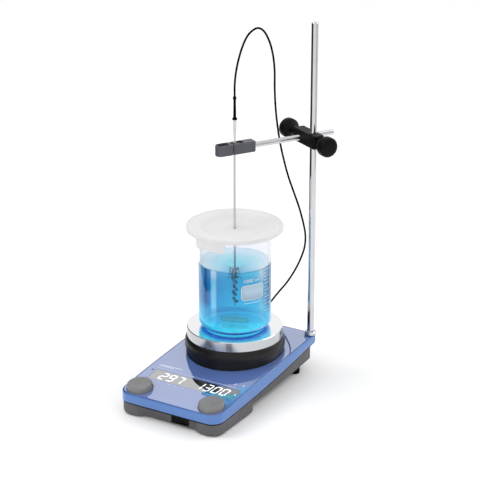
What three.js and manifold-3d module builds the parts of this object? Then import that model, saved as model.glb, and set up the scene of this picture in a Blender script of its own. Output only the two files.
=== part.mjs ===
// Hot-plate magnetic stirrer with its stand, temperature probe, beaker, lid and stir bar.
//
// Units are millimetres and +Z is up. Everything is laid out in the base frame: x = 0 and y = 0 are
// the middle of the base, the front is at -Y and the table is at z = 0. The finished group is then
// moved so that its origin is the bottom centre of the whole object.

import * as THREE from 'three';
import { mergeVertices } from 'three/addons/utils/BufferGeometryUtils.js';
import Module from 'manifold-3d';

const wasm = await Module();
wasm.setup();

// ---------------------------------------------------------------- driving dimensions

const GAP = 0.3; // between pieces that touch

// A line drawn along the base from front to rear: a height that slopes and bows with y.
function line(mid, slope, bow) {
  return { mid, slope, bow };
}

const BASE = {
  width: 160,
  depth: 270,
  frontCorner: 18,
  rearCorner: 5,
  top: line(45.2, 0.078, -0.00014),
  seam: line(27.2, 0.0875, 0.00024),
  underside: line(9.975, 0.014, 0.00028),
};

const COVER = { wall: 2.5, deck: 2.5, rim: 1.2, pane: 1.6 };

const HOUSING = {
  wall: 2.5,
  frontInset: 1,
  sideInset: 6,
  rearInset: 5,
  lobeEnd: -42,
  lobeInner: 41,
  lobeSweep: 9,
  recessDepth: 7,
  bottom: 1,
  frontFloor: 3.5,
  bevel: 4,
  shadowGap: 1.8,
};

const PLATE = { y: 41, radius: 67.5, top: 85, disc: 8, edge: 13.7 };
const RING = { foot: 68.6, widest: 70.8, inner: 63.5, bulgeFrom: 52.3 };
const KNOB = { x: 57.5, y: -113, radius: 18, height: 8.4, lift: -0.6 };
const DISPLAY = { x: 4, y: -73.5, width: 136, height: 25, thickness: 6 };
const SWITCH = { x: 16.7, z: 9.8, width: 27, height: 10.6, tilt: 7 };
const REAR_FOOT = { x: 62, y: 104, radius: 7 };
const FRONT_PAD = { x: 60, y: -112, radius: 9 };
const SCREWS = [
  { x: -66, y: -52 },
  { x: 66, y: -52 },
  { x: -62, y: 84 },
  { x: 62, y: 84 },
];

const ROD = { x: 73.5, y: 128, radius: 5, foot: 54, top: 509, stud: 3 };
const HOLDER = { z: 344, radius: 4, spacing: 20, tail: 43 };
// The boss head's ends and its knobs' middles are measured from the axis of the rod that each screw
// clamps: the support rod at the front and the holding rod at the rear.
const BOSS = { width: 18, height: 19, knobRadius: 14 };
const BOSS_FRONT = { end: 15.5, knob: 36, rod: ROD.radius };
const BOSS_REAR = { end: 21, knob: 46.5, rod: HOLDER.radius };
const CLAMP = { tip: -29, split: -5.2, end: 29.5, width: 15, top: 7.4, bottom: -7.6 };

const BEAKER = { radius: 50.8, height: 145, wall: 2, floor: 2.5, corner: 12, spout: 5 };
const LID = {
  radius: 67.2,
  thickness: 2.3,
  rim: 2.7,
  dishFloor: 37,
  dishEdge: 46,
  drop: 5,
  hole: 2.2,
  skirt: 15.5,
};
const STIR_BAR = { radius: 4, length: 40, ring: 4.6, turn: 20 };

const PROBE = {
  radius: 1.5,
  core: 0.45,
  tip: 114,
  sleeveBottom: 351.9,
  gripBottom: 384,
  gripTop: 416,
};
const SOCKET = { x: -38, z: 29, radius: 8 };
const INLET = { x: 25, z: 29, width: 27, height: 19 };
const CABLE_RADIUS = 1.2;

// ---------------------------------------------------------------- materials

function finish(color, roughness, metalness = 0) {
  return () => new THREE.MeshStandardMaterial({ color, roughness, metalness });
}

const blueGloss = finish(0x5b84c4, 0.15);
const bluePane = finish(0x4f73b8, 0.05);
const greyPlastic = finish(0x6a686b, 0.55);
const knobGrey = finish(0x878482, 0.5);
const blackPlastic = finish(0x1f1f1f, 0.45);
const clampGrey = finish(0x5d5d63, 0.55);
const blackRubber = finish(0x151515, 0.85);
const polishedSteel = finish(0xd8dadc, 0.12, 1);
const brushedSteel = finish(0xb4b6b8, 0.35, 1);
const aluminium = finish(0xc9c9c9, 0.25, 1);
const boardGreen = finish(0x1f5a3a, 0.6);
const brass = finish(0xb59a55, 0.35, 1);
const magnetGrey = finish(0x4a4a4c, 0.5, 0.6);
const insulationWhite = finish(0xd9d4c8, 0.95);
const displayBlack = finish(0x0a0a0a, 0.1);
const clearGlass = finish(0xdfeeee, 0.03);
const siliconeWhite = finish(0xe8eaea, 0.6);
const whitePlastic = finish(0xf2f2ee, 0.4);
const sleeveGrey = finish(0xc4c4c2, 0.5);

// ---------------------------------------------------------------- solids: joining and cutting

function toSolid(geometry) {
  const plain = geometry.index ? geometry.toNonIndexed() : geometry.clone();
  plain.deleteAttribute('normal');
  plain.deleteAttribute('uv');
  const merged = mergeVertices(plain, 1e-4);
  const corners = merged.index.array;
  const kept = [];
  for (let i = 0; i < corners.length; i += 3) {
    const [a, b, c] = [corners[i], corners[i + 1], corners[i + 2]];
    if (a !== b && b !== c && c !== a) {
      kept.push(a, b, c);
    }
  }
  const vertProperties = new Float32Array(merged.attributes.position.array);
  const triVerts = new Uint32Array(kept);
  return new wasm.Manifold(new wasm.Mesh({ numProp: 3, vertProperties, triVerts }));
}

function toGeometry(solid) {
  const mesh = solid.getMesh();
  const geometry = new THREE.BufferGeometry();
  geometry.setAttribute('position', new THREE.BufferAttribute(mesh.vertProperties, 3));
  geometry.setIndex(new THREE.BufferAttribute(mesh.triVerts, 1));
  return geometry;
}

function join(first, ...others) {
  return others.reduce((sum, next) => sum.add(next), first);
}

function cut(first, ...others) {
  return others.reduce((rest, next) => rest.subtract(next), first);
}

// ---------------------------------------------------------------- basic shapes

function moved(geometry, x, y, z) {
  return geometry.translate(x, y, z);
}

// A box given by its lowest and highest corners.
function box(low, high) {
  const size = high.map((value, i) => value - low[i]);
  const middle = high.map((value, i) => (value + low[i]) / 2);
  return toSolid(moved(new THREE.BoxGeometry(...size), ...middle));
}

// An upright cylinder at x, y between two heights.
function pillar(x, y, radius, low, high, sides = 20) {
  const geometry = new THREE.CylinderGeometry(radius, radius, high - low, sides);
  geometry.rotateX(Math.PI / 2);
  return toSolid(moved(geometry, x, y, (low + high) / 2));
}

// A profile of [radius, height] pairs that starts and ends on the axis, or closes on itself, turned
// about Y. Its points may run either way round.
function lathe(profile, sides) {
  let area = 0;
  profile.forEach(([r, z], i) => {
    const [nextR, nextZ] = profile[(i + 1) % profile.length];
    area += r * nextZ - nextR * z;
  });
  const ordered = area > 0 ? profile : [...profile].reverse();
  return new THREE.LatheGeometry(ordered.map(([r, z]) => new THREE.Vector2(r, z)), sides);
}

function turned(profile, sides = 40) {
  return toSolid(lathe(profile, sides).rotateX(Math.PI / 2));
}

function turnedAlongY(profile, sides = 20) {
  return toSolid(lathe(profile, sides));
}

function turnedAlongX(profile, sides = 20) {
  return toSolid(lathe(profile, sides).rotateZ(-Math.PI / 2));
}

function arcPoints(cx, cz, radius, fromDegrees, toDegrees, count) {
  const points = [];
  for (let i = 0; i <= count; i += 1) {
    const angle = THREE.MathUtils.degToRad(fromDegrees + ((toDegrees - fromDegrees) * i) / count);
    points.push([cx + radius * Math.cos(angle), cz + radius * Math.sin(angle)]);
  }
  return points;
}

function prism(shape, low, high, curveSegments = 5) {
  const options = { depth: high - low, bevelEnabled: false, curveSegments };
  return toSolid(moved(new THREE.ExtrudeGeometry(shape, options), 0, 0, low));
}

// A box with rounded upright edges and bevelled top and bottom, about its own middle.
function softBlock(width, depth, height, radius, bevel) {
  const [x, y] = [width / 2 - bevel, depth / 2 - bevel];
  const shape = roundedShape(-x, -y, x, y, [radius, radius, radius, radius]);
  const options = {
    depth: height - 2 * bevel,
    bevelThickness: bevel,
    bevelSize: bevel,
    bevelSegments: 1,
    curveSegments: 2,
  };
  return toSolid(moved(new THREE.ExtrudeGeometry(shape, options), 0, 0, bevel - height / 2));
}

// A rectangle with a radius at each corner, in the order front-left, front-right, rear-right,
// rear-left.
function roundedShape(x0, y0, x1, y1, radii) {
  const [fl, fr, rr, rl] = radii;
  const shape = new THREE.Shape();
  shape.moveTo(x0 + fl, y0);
  shape.lineTo(x1 - fr, y0);
  shape.absarc(x1 - fr, y0 + fr, fr, -Math.PI / 2, 0, false);
  shape.lineTo(x1, y1 - rr);
  shape.absarc(x1 - rr, y1 - rr, rr, 0, Math.PI / 2, false);
  shape.lineTo(x0 + rl, y1);
  shape.absarc(x0 + rl, y1 - rl, rl, Math.PI / 2, Math.PI, false);
  shape.lineTo(x0, y0 + fl);
  shape.absarc(x0 + fl, y0 + fl, fl, Math.PI, 1.5 * Math.PI, false);
  return shape;
}

// ---------------------------------------------------------------- the base's outline and lines

const SLAB_REACH = 150;

function heightAt(curve, y, offset = 0) {
  return curve.mid + curve.slope * y + curve.bow * y * y + offset;
}

// Everything between two of the base's lines, from side to side.
function slab(lower, lowerOffset, upper, upperOffset) {
  const low = (y) => heightAt(lower, y, lowerOffset);
  const high = (y) => heightAt(upper, y, upperOffset);
  const control = (curve, offset) => curve.mid - curve.bow * SLAB_REACH ** 2 + offset;
  const shape = new THREE.Shape();
  shape.moveTo(-SLAB_REACH, low(-SLAB_REACH));
  shape.quadraticCurveTo(0, control(lower, lowerOffset), SLAB_REACH, low(SLAB_REACH));
  shape.lineTo(SLAB_REACH, high(SLAB_REACH));
  shape.quadraticCurveTo(0, control(upper, upperOffset), -SLAB_REACH, high(-SLAB_REACH));
  const options = { depth: 2 * SLAB_REACH, bevelEnabled: false, curveSegments: 8 };
  const geometry = new THREE.ExtrudeGeometry(shape, options);
  const turn = new THREE.Matrix4().makeBasis(
    new THREE.Vector3(0, 1, 0),
    new THREE.Vector3(0, 0, 1),
    new THREE.Vector3(1, 0, 0),
  );
  return toSolid(moved(geometry.applyMatrix4(turn), -SLAB_REACH, 0, 0));
}

const GROUND = line(-20, 0, 0);
const SKY = line(100, 0, 0);

// The plan outline of the base, drawn in from its edge by inset.
function plan(inset) {
  const [x, y] = [BASE.width / 2 - inset, BASE.depth / 2 - inset];
  const front = BASE.frontCorner - inset;
  const rear = Math.max(BASE.rearCorner - inset, 1);
  return prism(roundedShape(-x, -y, x, y, [front, front, rear, rear]), -10, 90);
}

// The plan outline of the lower housing's front: two lobes that stand on the table and sweep back
// into a recess between them.
function frontShape(inset) {
  const x = BASE.width / 2 - HOUSING.frontInset - inset;
  const y = -BASE.depth / 2 + HOUSING.frontInset + inset;
  const radius = BASE.frontCorner - HOUSING.frontInset - inset;
  const inner = HOUSING.lobeInner + inset;
  const back = HOUSING.lobeEnd - inset;
  const recess = y + HOUSING.recessDepth;
  const sweep = HOUSING.lobeSweep;
  const shape = new THREE.Shape();
  shape.moveTo(x, back);
  shape.lineTo(-x, back);
  shape.lineTo(-x, y + radius);
  shape.absarc(-x + radius, y + radius, radius, Math.PI, 1.5 * Math.PI, false);
  shape.lineTo(-inner - sweep, y);
  shape.bezierCurveTo(-inner, y, -inner, recess, -inner + sweep, recess);
  shape.lineTo(inner - sweep, recess);
  shape.bezierCurveTo(inner, recess, inner, y, inner + sweep, y);
  shape.lineTo(x - radius, y);
  shape.absarc(x - radius, y + radius, radius, 1.5 * Math.PI, 2 * Math.PI, false);
  return shape;
}

// A group that stands on the sloping top at x, y, with its own z square to the surface.
function frameOnTop(x, y) {
  const frame = new THREE.Group();
  frame.position.set(x, y, heightAt(BASE.top, y));
  frame.rotation.x = Math.atan(BASE.top.slope + 2 * BASE.top.bow * y);
  frame.updateMatrix();
  return frame;
}

// The solid in the base frame of one that is drawn in a frame of its own.
function placed(solid, frame) {
  const geometry = toGeometry(solid).applyMatrix4(frame.matrix);
  return toSolid(geometry);
}

// ---------------------------------------------------------------- the scene graph

const stirrer = new THREE.Group();
const cordPieces = [];

function add(name, solid, material, parent = stirrer) {
  const mesh = new THREE.Mesh(toGeometry(solid), material());
  mesh.name = name;
  parent.add(mesh);
  return mesh;
}

const leftKnobFrame = frameOnTop(-KNOB.x, KNOB.y);
const rightKnobFrame = frameOnTop(KNOB.x, KNOB.y);
const displayFrame = frameOnTop(DISPLAY.x, DISPLAY.y);
const boardFrame = frameOnTop(0, -90);
stirrer.add(leftKnobFrame, rightKnobFrame, displayFrame, boardFrame);

// ---------------------------------------------------------------- base: covers and housing

function displayBlock(margin, low, high) {
  const [x, y] = [DISPLAY.width / 2 + margin, DISPLAY.height / 2 + margin];
  return box([-x, -y, low], [x, y, high]);
}

// Holes through the pane and the deck for the shafts, the display and the stand's stud.
function topOpenings() {
  const shaftHole = pillar(0, 0, 4, -12, 8, 12);
  return [
    placed(shaftHole, leftKnobFrame),
    placed(shaftHole, rightKnobFrame),
    placed(displayBlock(0, -12, 8), displayFrame),
    pillar(ROD.x, ROD.y, ROD.stud + GAP, 40, 70, 12),
  ];
}

const deckDepth = COVER.pane + GAP + COVER.deck;

function buildUpperCover() {
  const outside = plan(0).intersect(slab(BASE.seam, 0, BASE.top, 0));
  const paneSeat = plan(COVER.rim).intersect(slab(BASE.top, -COVER.pane - GAP, SKY, 0));
  const inside = plan(COVER.wall).intersect(slab(GROUND, 0, BASE.top, -deckDepth));
  const columns = SCREWS.map(({ x, y }) => {
    const foot = y < 0 ? HOUSING.bottom + HOUSING.frontFloor : heightAt(BASE.underside, y, 3);
    return pillar(x, y, 4.5, foot + GAP + 0.2, heightAt(BASE.top, y, -deckDepth + 1), 10);
  });
  const rodCorner = box([62, 116, 43.5], [79, 134, 50]).intersect(plan(0.5));
  const screwBores = SCREWS.map(({ x, y }) => pillar(x, y, 1.9, 0, heightAt(BASE.top, y, -6), 8));
  const rotorHole = pillar(0, PLATE.y, 56, 30, 70, 32);
  const shell = join(cut(outside, paneSeat, inside), ...columns, rodCorner);
  return cut(shell, rotorHole, ...screwBores, ...topOpenings());
}

// The knobs sit low in round openings of the pane, with room to be pressed.
function buildTopPane() {
  const sheet = plan(COVER.rim + GAP).intersect(slab(BASE.top, -COVER.pane, BASE.top, 0));
  const knobRoom = pillar(0, 0, KNOB.radius + 0.8, -12, 8, 36);
  const knobOpenings = [leftKnobFrame, rightKnobFrame].map((frame) => placed(knobRoom, frame));
  const ringOpening = pillar(0, PLATE.y, RING.foot + 0.6, 20, 90, 48);
  return cut(sheet, ringOpening, ...knobOpenings, ...topOpenings());
}

function housingFront(inset, low) {
  const options = {
    depth: 60,
    bevelThickness: HOUSING.bevel,
    bevelSize: HOUSING.bevel,
    bevelSegments: 2,
    curveSegments: 5,
  };
  const geometry = new THREE.ExtrudeGeometry(frontShape(inset + HOUSING.bevel), options);
  return toSolid(moved(geometry, 0, 0, low + HOUSING.bevel));
}

function housingRear(inset) {
  const x = BASE.width / 2 - HOUSING.sideInset - inset;
  const y = BASE.depth / 2 - HOUSING.rearInset - inset;
  const corner = 4 - inset;
  const shape = roundedShape(-x, HOUSING.lobeEnd - 18, x, y, [1, 1, corner, corner]);
  return prism(shape, -10, 90);
}

function buildLowerHousing() {
  const { wall, bottom, frontFloor, shadowGap } = HOUSING;
  const belowSeam = slab(GROUND, 0, BASE.seam, -GAP);
  const lobes = housingFront(0, bottom).intersect(slab(GROUND, 0, BASE.seam, -shadowGap));
  const neck = prism(frontShape(3.4), 12, 60).intersect(belowSeam);
  const rear = housingRear(0).intersect(slab(BASE.underside, 0, BASE.seam, -GAP));
  const frontRoom = prism(frontShape(wall + 3.2), bottom + frontFloor, 90);
  const rearRoom = housingRear(wall).intersect(slab(BASE.underside, wall, SKY, 0));
  const frontRearRoom = box([-70, HOUSING.lobeEnd - 30, bottom + frontFloor], [70, -45, 40]);
  const shell = cut(join(lobes, neck, rear), frontRoom, rearRoom, frontRearRoom);
  const wallY = -BASE.depth / 2 + HOUSING.frontInset + HOUSING.recessDepth;
  const [halfW, halfH] = [SWITCH.width / 2 - 0.5, SWITCH.height / 2 - 0.5];
  const holes = [
    box(
      [SWITCH.x - halfW, wallY - 5, SWITCH.z - halfH],
      [SWITCH.x + halfW, wallY + 15, SWITCH.z + halfH],
    ),
    box(
      [INLET.x - INLET.width / 2 - GAP, 120, INLET.z - INLET.height / 2 - GAP],
      [INLET.x + INLET.width / 2 + GAP, 140, INLET.z + INLET.height / 2 + GAP],
    ),
    turnedAlongY([[0, 120], [SOCKET.radius + GAP, 120], [SOCKET.radius + GAP, 140], [0, 140]])
      .translate([SOCKET.x, 0, SOCKET.z]),
  ];
  SCREWS.forEach(({ x, y }) => holes.push(pillar(x, y, 1.9, 0, 20, 8)));
  SCREWS.slice(0, 2).forEach(({ x, y }) => holes.push(pillar(x, y, 4.2, 0, 3.3, 12)));
  [-1, 1].forEach((side) => {
    holes.push(pillar(side * REAR_FOOT.x, REAR_FOOT.y, 3.3, 0, 20, 12));
    holes.push(pillar(side * FRONT_PAD.x, FRONT_PAD.y, FRONT_PAD.radius + GAP, -1, 3, 24));
  });
  return cut(shell, ...holes);
}

add('upper_cover', buildUpperCover(), blueGloss);
add('top_pane', buildTopPane(), bluePane);
add('lower_housing', buildLowerHousing(), greyPlastic);

function buildRearFoot(side) {
  const block = pillar(side * REAR_FOOT.x, REAR_FOOT.y, REAR_FOOT.radius, 0, 20, 24);
  const stem = pillar(side * REAR_FOOT.x, REAR_FOOT.y, 3, 8, 19, 12);
  return join(cut(block, slab(BASE.underside, -GAP, SKY, 0)), stem);
}

[['left', -1], ['right', 1]].forEach(([label, side]) => {
  add(`rear_foot_${label}`, buildRearFoot(side), blackRubber);
  const pad = pillar(side * FRONT_PAD.x, FRONT_PAD.y, FRONT_PAD.radius, 0, 2.7, 24);
  add(`front_pad_${label}`, pad, blackRubber);
});

function buildScrew({ x, y }) {
  const seat = y < 0 ? 3 : heightAt(BASE.underside, y, -0.6);
  const head = pillar(x, y, 3.8, seat - 1.9, seat, 12);
  return join(head, pillar(x, y, 1.6, seat - 0.5, seat + 18, 8));
}

SCREWS.forEach((place, i) => add(`housing_screw_${i + 1}`, buildScrew(place), brushedSteel));

// ---------------------------------------------------------------- hotplate and its ring

function buildRing() {
  const { foot, widest, inner, bulgeFrom } = RING;
  const top = PLATE.top - PLATE.edge - GAP;
  const profile = [
    [inner, 35],
    [foot, 35],
    [foot, bulgeFrom],
    [widest - 0.6, bulgeFrom + 2.7],
    [widest, bulgeFrom + 5.7],
    [widest, top - 9],
    [widest - 0.7, top - 5],
    [widest - 2, top - 1.8],
    [widest - 3.8, top],
    [inner, top],
    [inner, 35],
  ];
  const collar = turned(profile, 48).translate([0, PLATE.y, 0]);
  return cut(collar, slab(GROUND, 0, BASE.top, -COVER.pane));
}

const SENSOR = { x: 25, y: PLATE.y + 25, radius: 1.6 };
const heaterTop = PLATE.top - PLATE.disc - GAP;
const insulationTop = heaterTop - 3 - GAP;

function sensorHole(low, high) {
  return pillar(SENSOR.x, SENSOR.y, SENSOR.radius + GAP, low, high, 10);
}

function buildHotplate() {
  const { radius, top, disc, edge } = PLATE;
  const profile = [
    [0, top],
    [radius - 0.8, top],
    [radius, top - 0.8],
    [radius, top - edge],
    [radius - 6, top - edge],
    [radius - 6, top - disc],
    [0, top - disc],
  ];
  return cut(turned(profile, 60).translate([0, PLATE.y, 0]), sensorHole(70, top - 3));
}

function layer(radius, low, high) {
  return cut(pillar(0, PLATE.y, radius, low, high, 32), sensorHole(low - 1, high + 1));
}

add('plate_ring', buildRing(), blackPlastic);
add('hotplate', buildHotplate(), aluminium);
add('heater_disc', layer(58, heaterTop - 3, heaterTop), brushedSteel);
add('insulation_disc', layer(60.5, insulationTop - 7.4, insulationTop), insulationWhite);
add('plate_sensor', pillar(SENSOR.x, SENSOR.y, SENSOR.radius, 63, PLATE.top - 3.5, 10), brass);

// ---------------------------------------------------------------- magnetic drive

const BRACKET = { low: 52.3, high: 54.8, radius: 62.8 };
const CARRIER = { low: 56, high: 60, length: 64, width: 18 };

function buildMotor() {
  const profile = [
    [0, 24],
    [16, 24],
    [16, 28],
    [24, 28],
    [24, BRACKET.low - GAP],
    [3.3, BRACKET.low - GAP],
    [3.3, 27],
    [0, 27],
  ];
  return turned(profile, 24).translate([0, PLATE.y, 0]);
}

function buildCarrier() {
  const half = CARRIER.length / 2 - CARRIER.width / 2;
  const bar = join(
    box([-half, -CARRIER.width / 2, CARRIER.low], [half, CARRIER.width / 2, CARRIER.high]),
    pillar(-half, 0, CARRIER.width / 2, CARRIER.low, CARRIER.high, 16),
    pillar(half, 0, CARRIER.width / 2, CARRIER.low, CARRIER.high, 16),
  );
  return cut(bar, pillar(0, 0, 3.3, 50, 70, 12)).translate([0, PLATE.y, 0]);
}

const bracketDisc = pillar(0, PLATE.y, BRACKET.radius, BRACKET.low, BRACKET.high, 32);
add('motor', buildMotor(), brushedSteel);
add('motor_bracket', cut(bracketDisc, pillar(0, PLATE.y, 4, 50, 60, 12)), aluminium);
add('rotor_shaft', pillar(0, PLATE.y, 3, 28, CARRIER.high, 12), polishedSteel);
add('magnet_carrier', buildCarrier(), aluminium);
[['north', -1], ['south', 1]].forEach(([pole, side]) => {
  const magnet = pillar(side * 22, PLATE.y, 8, CARRIER.high + GAP, CARRIER.high + 5, 16);
  add(`drive_magnet_${pole}`, magnet, magnetGrey);
});

// ---------------------------------------------------------------- electronics

const ENCODER = { half: 6.5, low: -11.7, high: -5 };

function buildKnob() {
  const { radius, height, lift } = KNOB;
  const top = lift + height;
  const profile = [
    [0, top],
    ...arcPoints(radius - 3, top - 2.6, 2.6, 90, 10, 3),
    [radius, lift],
    [radius - 1.8, lift],
    [radius - 2.2, lift + 5.7],
    [6, lift + 5.7],
    [6, lift],
    [2.9 + GAP, lift],
    [2.9 + GAP, lift + 6.9],
    [0, lift + 6.9],
  ];
  return turned(profile, 32);
}

function buildEncoder() {
  const body = box(
    [-ENCODER.half, -ENCODER.half, ENCODER.low],
    [ENCODER.half, ENCODER.half, ENCODER.high],
  );
  return cut(body, pillar(0, 0, 2.9 + GAP, -20, 0, 10));
}

[['left', leftKnobFrame], ['right', rightKnobFrame]].forEach(([label, frame]) => {
  add(`${label}_knob`, buildKnob(), knobGrey, frame);
  add(`${label}_knob_shaft`, pillar(0, 0, 2.9, -9, KNOB.lift + 6.6, 12), brushedSteel, frame);
  add(`${label}_encoder`, buildEncoder(), blackPlastic, frame);
});

add('display_window', displayBlock(-GAP, -DISPLAY.thickness, -0.1), displayBlack, displayFrame);
add('display_board', box([-70, -28, -14.2], [70, 28, -12.6]), boardGreen, boardFrame);
add('main_board', box([-60, -37, 15.5], [60, 9, 17.1]), boardGreen);
add('transformer', box([-50, -31, 17.4], [-10, 3, 35]), blackPlastic);

// The front wall of the recess carries the mains switch, whose rocker tips left and right.
const switchWall = -BASE.depth / 2 + HOUSING.frontInset + HOUSING.recessDepth;
const ROCKER = { pivotY: switchWall + 2.6, halfLength: 10, height: 7, pin: 1.2 };

function buildSwitchFrame() {
  const [w, h] = [SWITCH.width / 2, SWITCH.height / 2];
  const front = switchWall - GAP;
  const bezel = box([-w, front - 1.2, -h], [w, front, h]);
  const body = box([-w + 0.8, front - 0.6, -h + 0.8], [w - 0.8, switchWall + 14, h - 0.8]);
  const room = box([-11, front - 3, -3.8], [11, switchWall + 9, 3.8]);
  const pinHole = pillar(0, ROCKER.pivotY, ROCKER.pin + GAP / 2, -4.3, 4.3, 10);
  return cut(join(bezel, body), room, pinHole).translate([SWITCH.x, 0, SWITCH.z]);
}

function buildRocker() {
  const { halfLength, height, pin } = ROCKER;
  const shape = new THREE.Shape();
  shape.moveTo(-halfLength, -4.2);
  shape.quadraticCurveTo(0, -0.6, halfLength, -4.2);
  shape.lineTo(halfLength, -1);
  shape.lineTo(4, 3);
  shape.lineTo(-4, 3);
  shape.lineTo(-halfLength, -1);
  const rocker = prism(shape, -height / 2, height / 2, 6);
  return cut(rocker, pillar(0, 0, pin + GAP, -10, 10, 10));
}

add('switch_frame', buildSwitchFrame(), blackPlastic);
const rockerFrame = new THREE.Group();
rockerFrame.position.set(SWITCH.x, ROCKER.pivotY, SWITCH.z);
rockerFrame.rotation.z = THREE.MathUtils.degToRad(SWITCH.tilt);
stirrer.add(rockerFrame);
add('switch_rocker', buildRocker(), blackPlastic, rockerFrame);
add('rocker_pin', pillar(SWITCH.x, ROCKER.pivotY, ROCKER.pin, SWITCH.z - 4.2, SWITCH.z + 4.2, 12),
  brushedSteel);

// The rear wall carries the mains inlet and the probe's round socket.
const rearWall = BASE.depth / 2 - HOUSING.rearInset;

function buildInlet() {
  const [w, h] = [INLET.width / 2, INLET.height / 2];
  const flange = box([-w - 3, rearWall + GAP, -h - 2], [w + 3, rearWall + 2.3, h + 2]);
  const body = box([-w, rearWall - 22, -h], [w, rearWall + 1, h]);
  const room = box([-11, rearWall - 13, -7], [11, rearWall + 5, 7]);
  const pins = [-7, 0, 7].map((x) => {
    const z = x === 0 ? 2.5 : -2;
    return box([x - 1, rearWall - 14, z - 2], [x + 1, rearWall - 3, z + 2]);
  });
  return join(cut(join(flange, body), room), ...pins).translate([INLET.x, 0, INLET.z]);
}

function buildSocket() {
  const face = rearWall + 2.3;
  const profile = [
    [0, 118],
    [SOCKET.radius, 118],
    [SOCKET.radius, rearWall + GAP],
    [SOCKET.radius + 2, rearWall + GAP],
    [SOCKET.radius + 2, face],
    [6.2, face],
    [6.2, 121],
    [0, 121],
  ];
  return turnedAlongY(profile).translate([SOCKET.x, 0, SOCKET.z]);
}

const PLUG = { nose: 121.4, collar: 132.6, waist: 152, tail: 166 };

function buildPlug() {
  const profile = [
    [0, PLUG.nose],
    [5.8, PLUG.nose],
    [5.8, PLUG.collar],
    [7.5, PLUG.collar],
    [7.5, PLUG.waist],
    [4, PLUG.waist + 3],
    [2.2, PLUG.tail],
    [0, PLUG.tail],
  ];
  return turnedAlongY(profile).translate([SOCKET.x, 0, SOCKET.z]);
}

add('power_inlet', buildInlet(), blackPlastic);
add('probe_socket', buildSocket(), brushedSteel);
cordPieces.push(add('probe_plug', buildPlug(), blackPlastic));

// ---------------------------------------------------------------- stand: rod and boss head

function buildSupportRod() {
  const { radius, stud, foot, top } = ROD;
  const profile = [
    [0, 45],
    [stud, 45],
    [stud, foot],
    [radius, foot],
    [radius, top - 1],
    [radius - 1, top],
    [0, top],
  ];
  return turned(profile, 20).translate([ROD.x, ROD.y, 0]);
}

function buildCollar() {
  const [inner, outer, low, high] = [ROD.radius + GAP, 8.5, ROD.foot + 0.2, ROD.foot + 5];
  const profile = [
    [inner, low],
    [outer, low],
    [outer, high - 1.2],
    [outer - 1.2, high],
    [inner, high],
    [inner, low],
  ];
  return turned(profile, 20).translate([ROD.x, ROD.y, 0]);
}

add('support_rod', buildSupportRod(), polishedSteel);
add('rod_collar', buildCollar(), polishedSteel);

// The holding rod passes the support rod at a fixed spacing and points at the probe, which hangs
// over the middle of the plate. In the boss frame +X runs along the boss head towards its front
// knob, and +Y runs along the holding rod, away from the probe.
const reach = new THREE.Vector2(ROD.x, ROD.y - PLATE.y);
const holderAngle = reach.angle() + Math.asin(HOLDER.spacing / reach.length());
const probeDistance = Math.sqrt(reach.lengthSq() - HOLDER.spacing ** 2);

const bossFrame = new THREE.Group();
bossFrame.position.set(ROD.x, ROD.y, HOLDER.z);
bossFrame.rotation.z = holderAngle - Math.PI / 2;
stirrer.add(bossFrame);

function buildBossBlock() {
  const length = BOSS_FRONT.end + HOLDER.spacing + BOSS_REAR.end;
  const block = softBlock(length, BOSS.width, BOSS.height, 2, 1.5)
    .translate([BOSS_FRONT.end - length / 2, 0, 0]);
  const holderHole = turnedAlongY(
    [[0, -20], [HOLDER.radius + GAP, -20], [HOLDER.radius + GAP, 20], [0, 20]],
    16,
  ).translate([-HOLDER.spacing, 0, 0]);
  const rodHole = pillar(0, 0, ROD.radius + GAP, -20, 20, 20);
  const screwHole = turnedAlongX([[0, 0], [3.5, 0], [3.5, 40], [0, 40]], 14);
  const rearScrewHole = screwHole.rotate([0, 0, 180]).translate([-HOLDER.spacing, 0, 0]);
  return cut(block, holderHole, rodHole, screwHole, rearScrewHole);
}

// The knob, its screw and the pad that presses on a rod, drawn along +X from that rod's axis.
function buildBossKnob({ end, knob }) {
  const r = BOSS.knobRadius;
  const profile = [
    [3.5, end + 0.8],
    [6.8, end + 0.8],
    [5.6, end + 6],
    [6.4, knob - 11],
    [9.5, knob - 8],
    [r - 1, knob - 6],
    [r, knob - 4],
    [r, knob + 4],
    [r - 1.2, knob + 6],
    [r - 4, knob + 7.2],
    [0, knob + 7.8],
    [0, knob - 4],
    [3.5, knob - 4],
    [3.5, end + 0.8],
  ];
  return turnedAlongX(profile, 24);
}

function buildRodPad({ rod }) {
  const near = rod + GAP;
  return turnedAlongX([[0, near], [3.2, near], [3.2, 8.5], [0, 8.5]], 12);
}

function buildRodScrew({ knob }) {
  const end = knob - 4.3;
  return turnedAlongX([[0, 8.8], [3.2, 8.8], [3.2, end], [0, end]], 12);
}

add('boss_block', buildBossBlock(), blackPlastic, bossFrame);
const frontScrewFrame = new THREE.Group();
const rearScrewFrame = new THREE.Group();
rearScrewFrame.position.x = -HOLDER.spacing;
rearScrewFrame.rotation.z = Math.PI;
bossFrame.add(frontScrewFrame, rearScrewFrame);
[['front', frontScrewFrame, BOSS_FRONT], ['rear', rearScrewFrame, BOSS_REAR]].forEach(
  ([label, frame, side]) => {
    add(`${label}_clamp_knob`, buildBossKnob(side), blackPlastic, frame);
    add(`${label}_clamp_screw`, buildRodScrew(side), brushedSteel, frame);
    add(`${label}_clamp_pad`, buildRodPad(side), brass, frame);
  },
);

// ---------------------------------------------------------------- holding rod and probe clamp

const clampFrame = new THREE.Group();
clampFrame.position.set(-HOLDER.spacing, -probeDistance, 0);
bossFrame.add(clampFrame);

const SOCKET_START = 14;
const holderEnd = probeDistance + HOLDER.tail;

function holderBar(radius, start, end) {
  return turnedAlongY([[0, start], [radius, start], [radius, end], [0, end]], 16);
}

const PIN = { x: 4.6, z: -4, radius: 1.3, foot: -12, head: 2.2, headAt: 11 };

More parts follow.
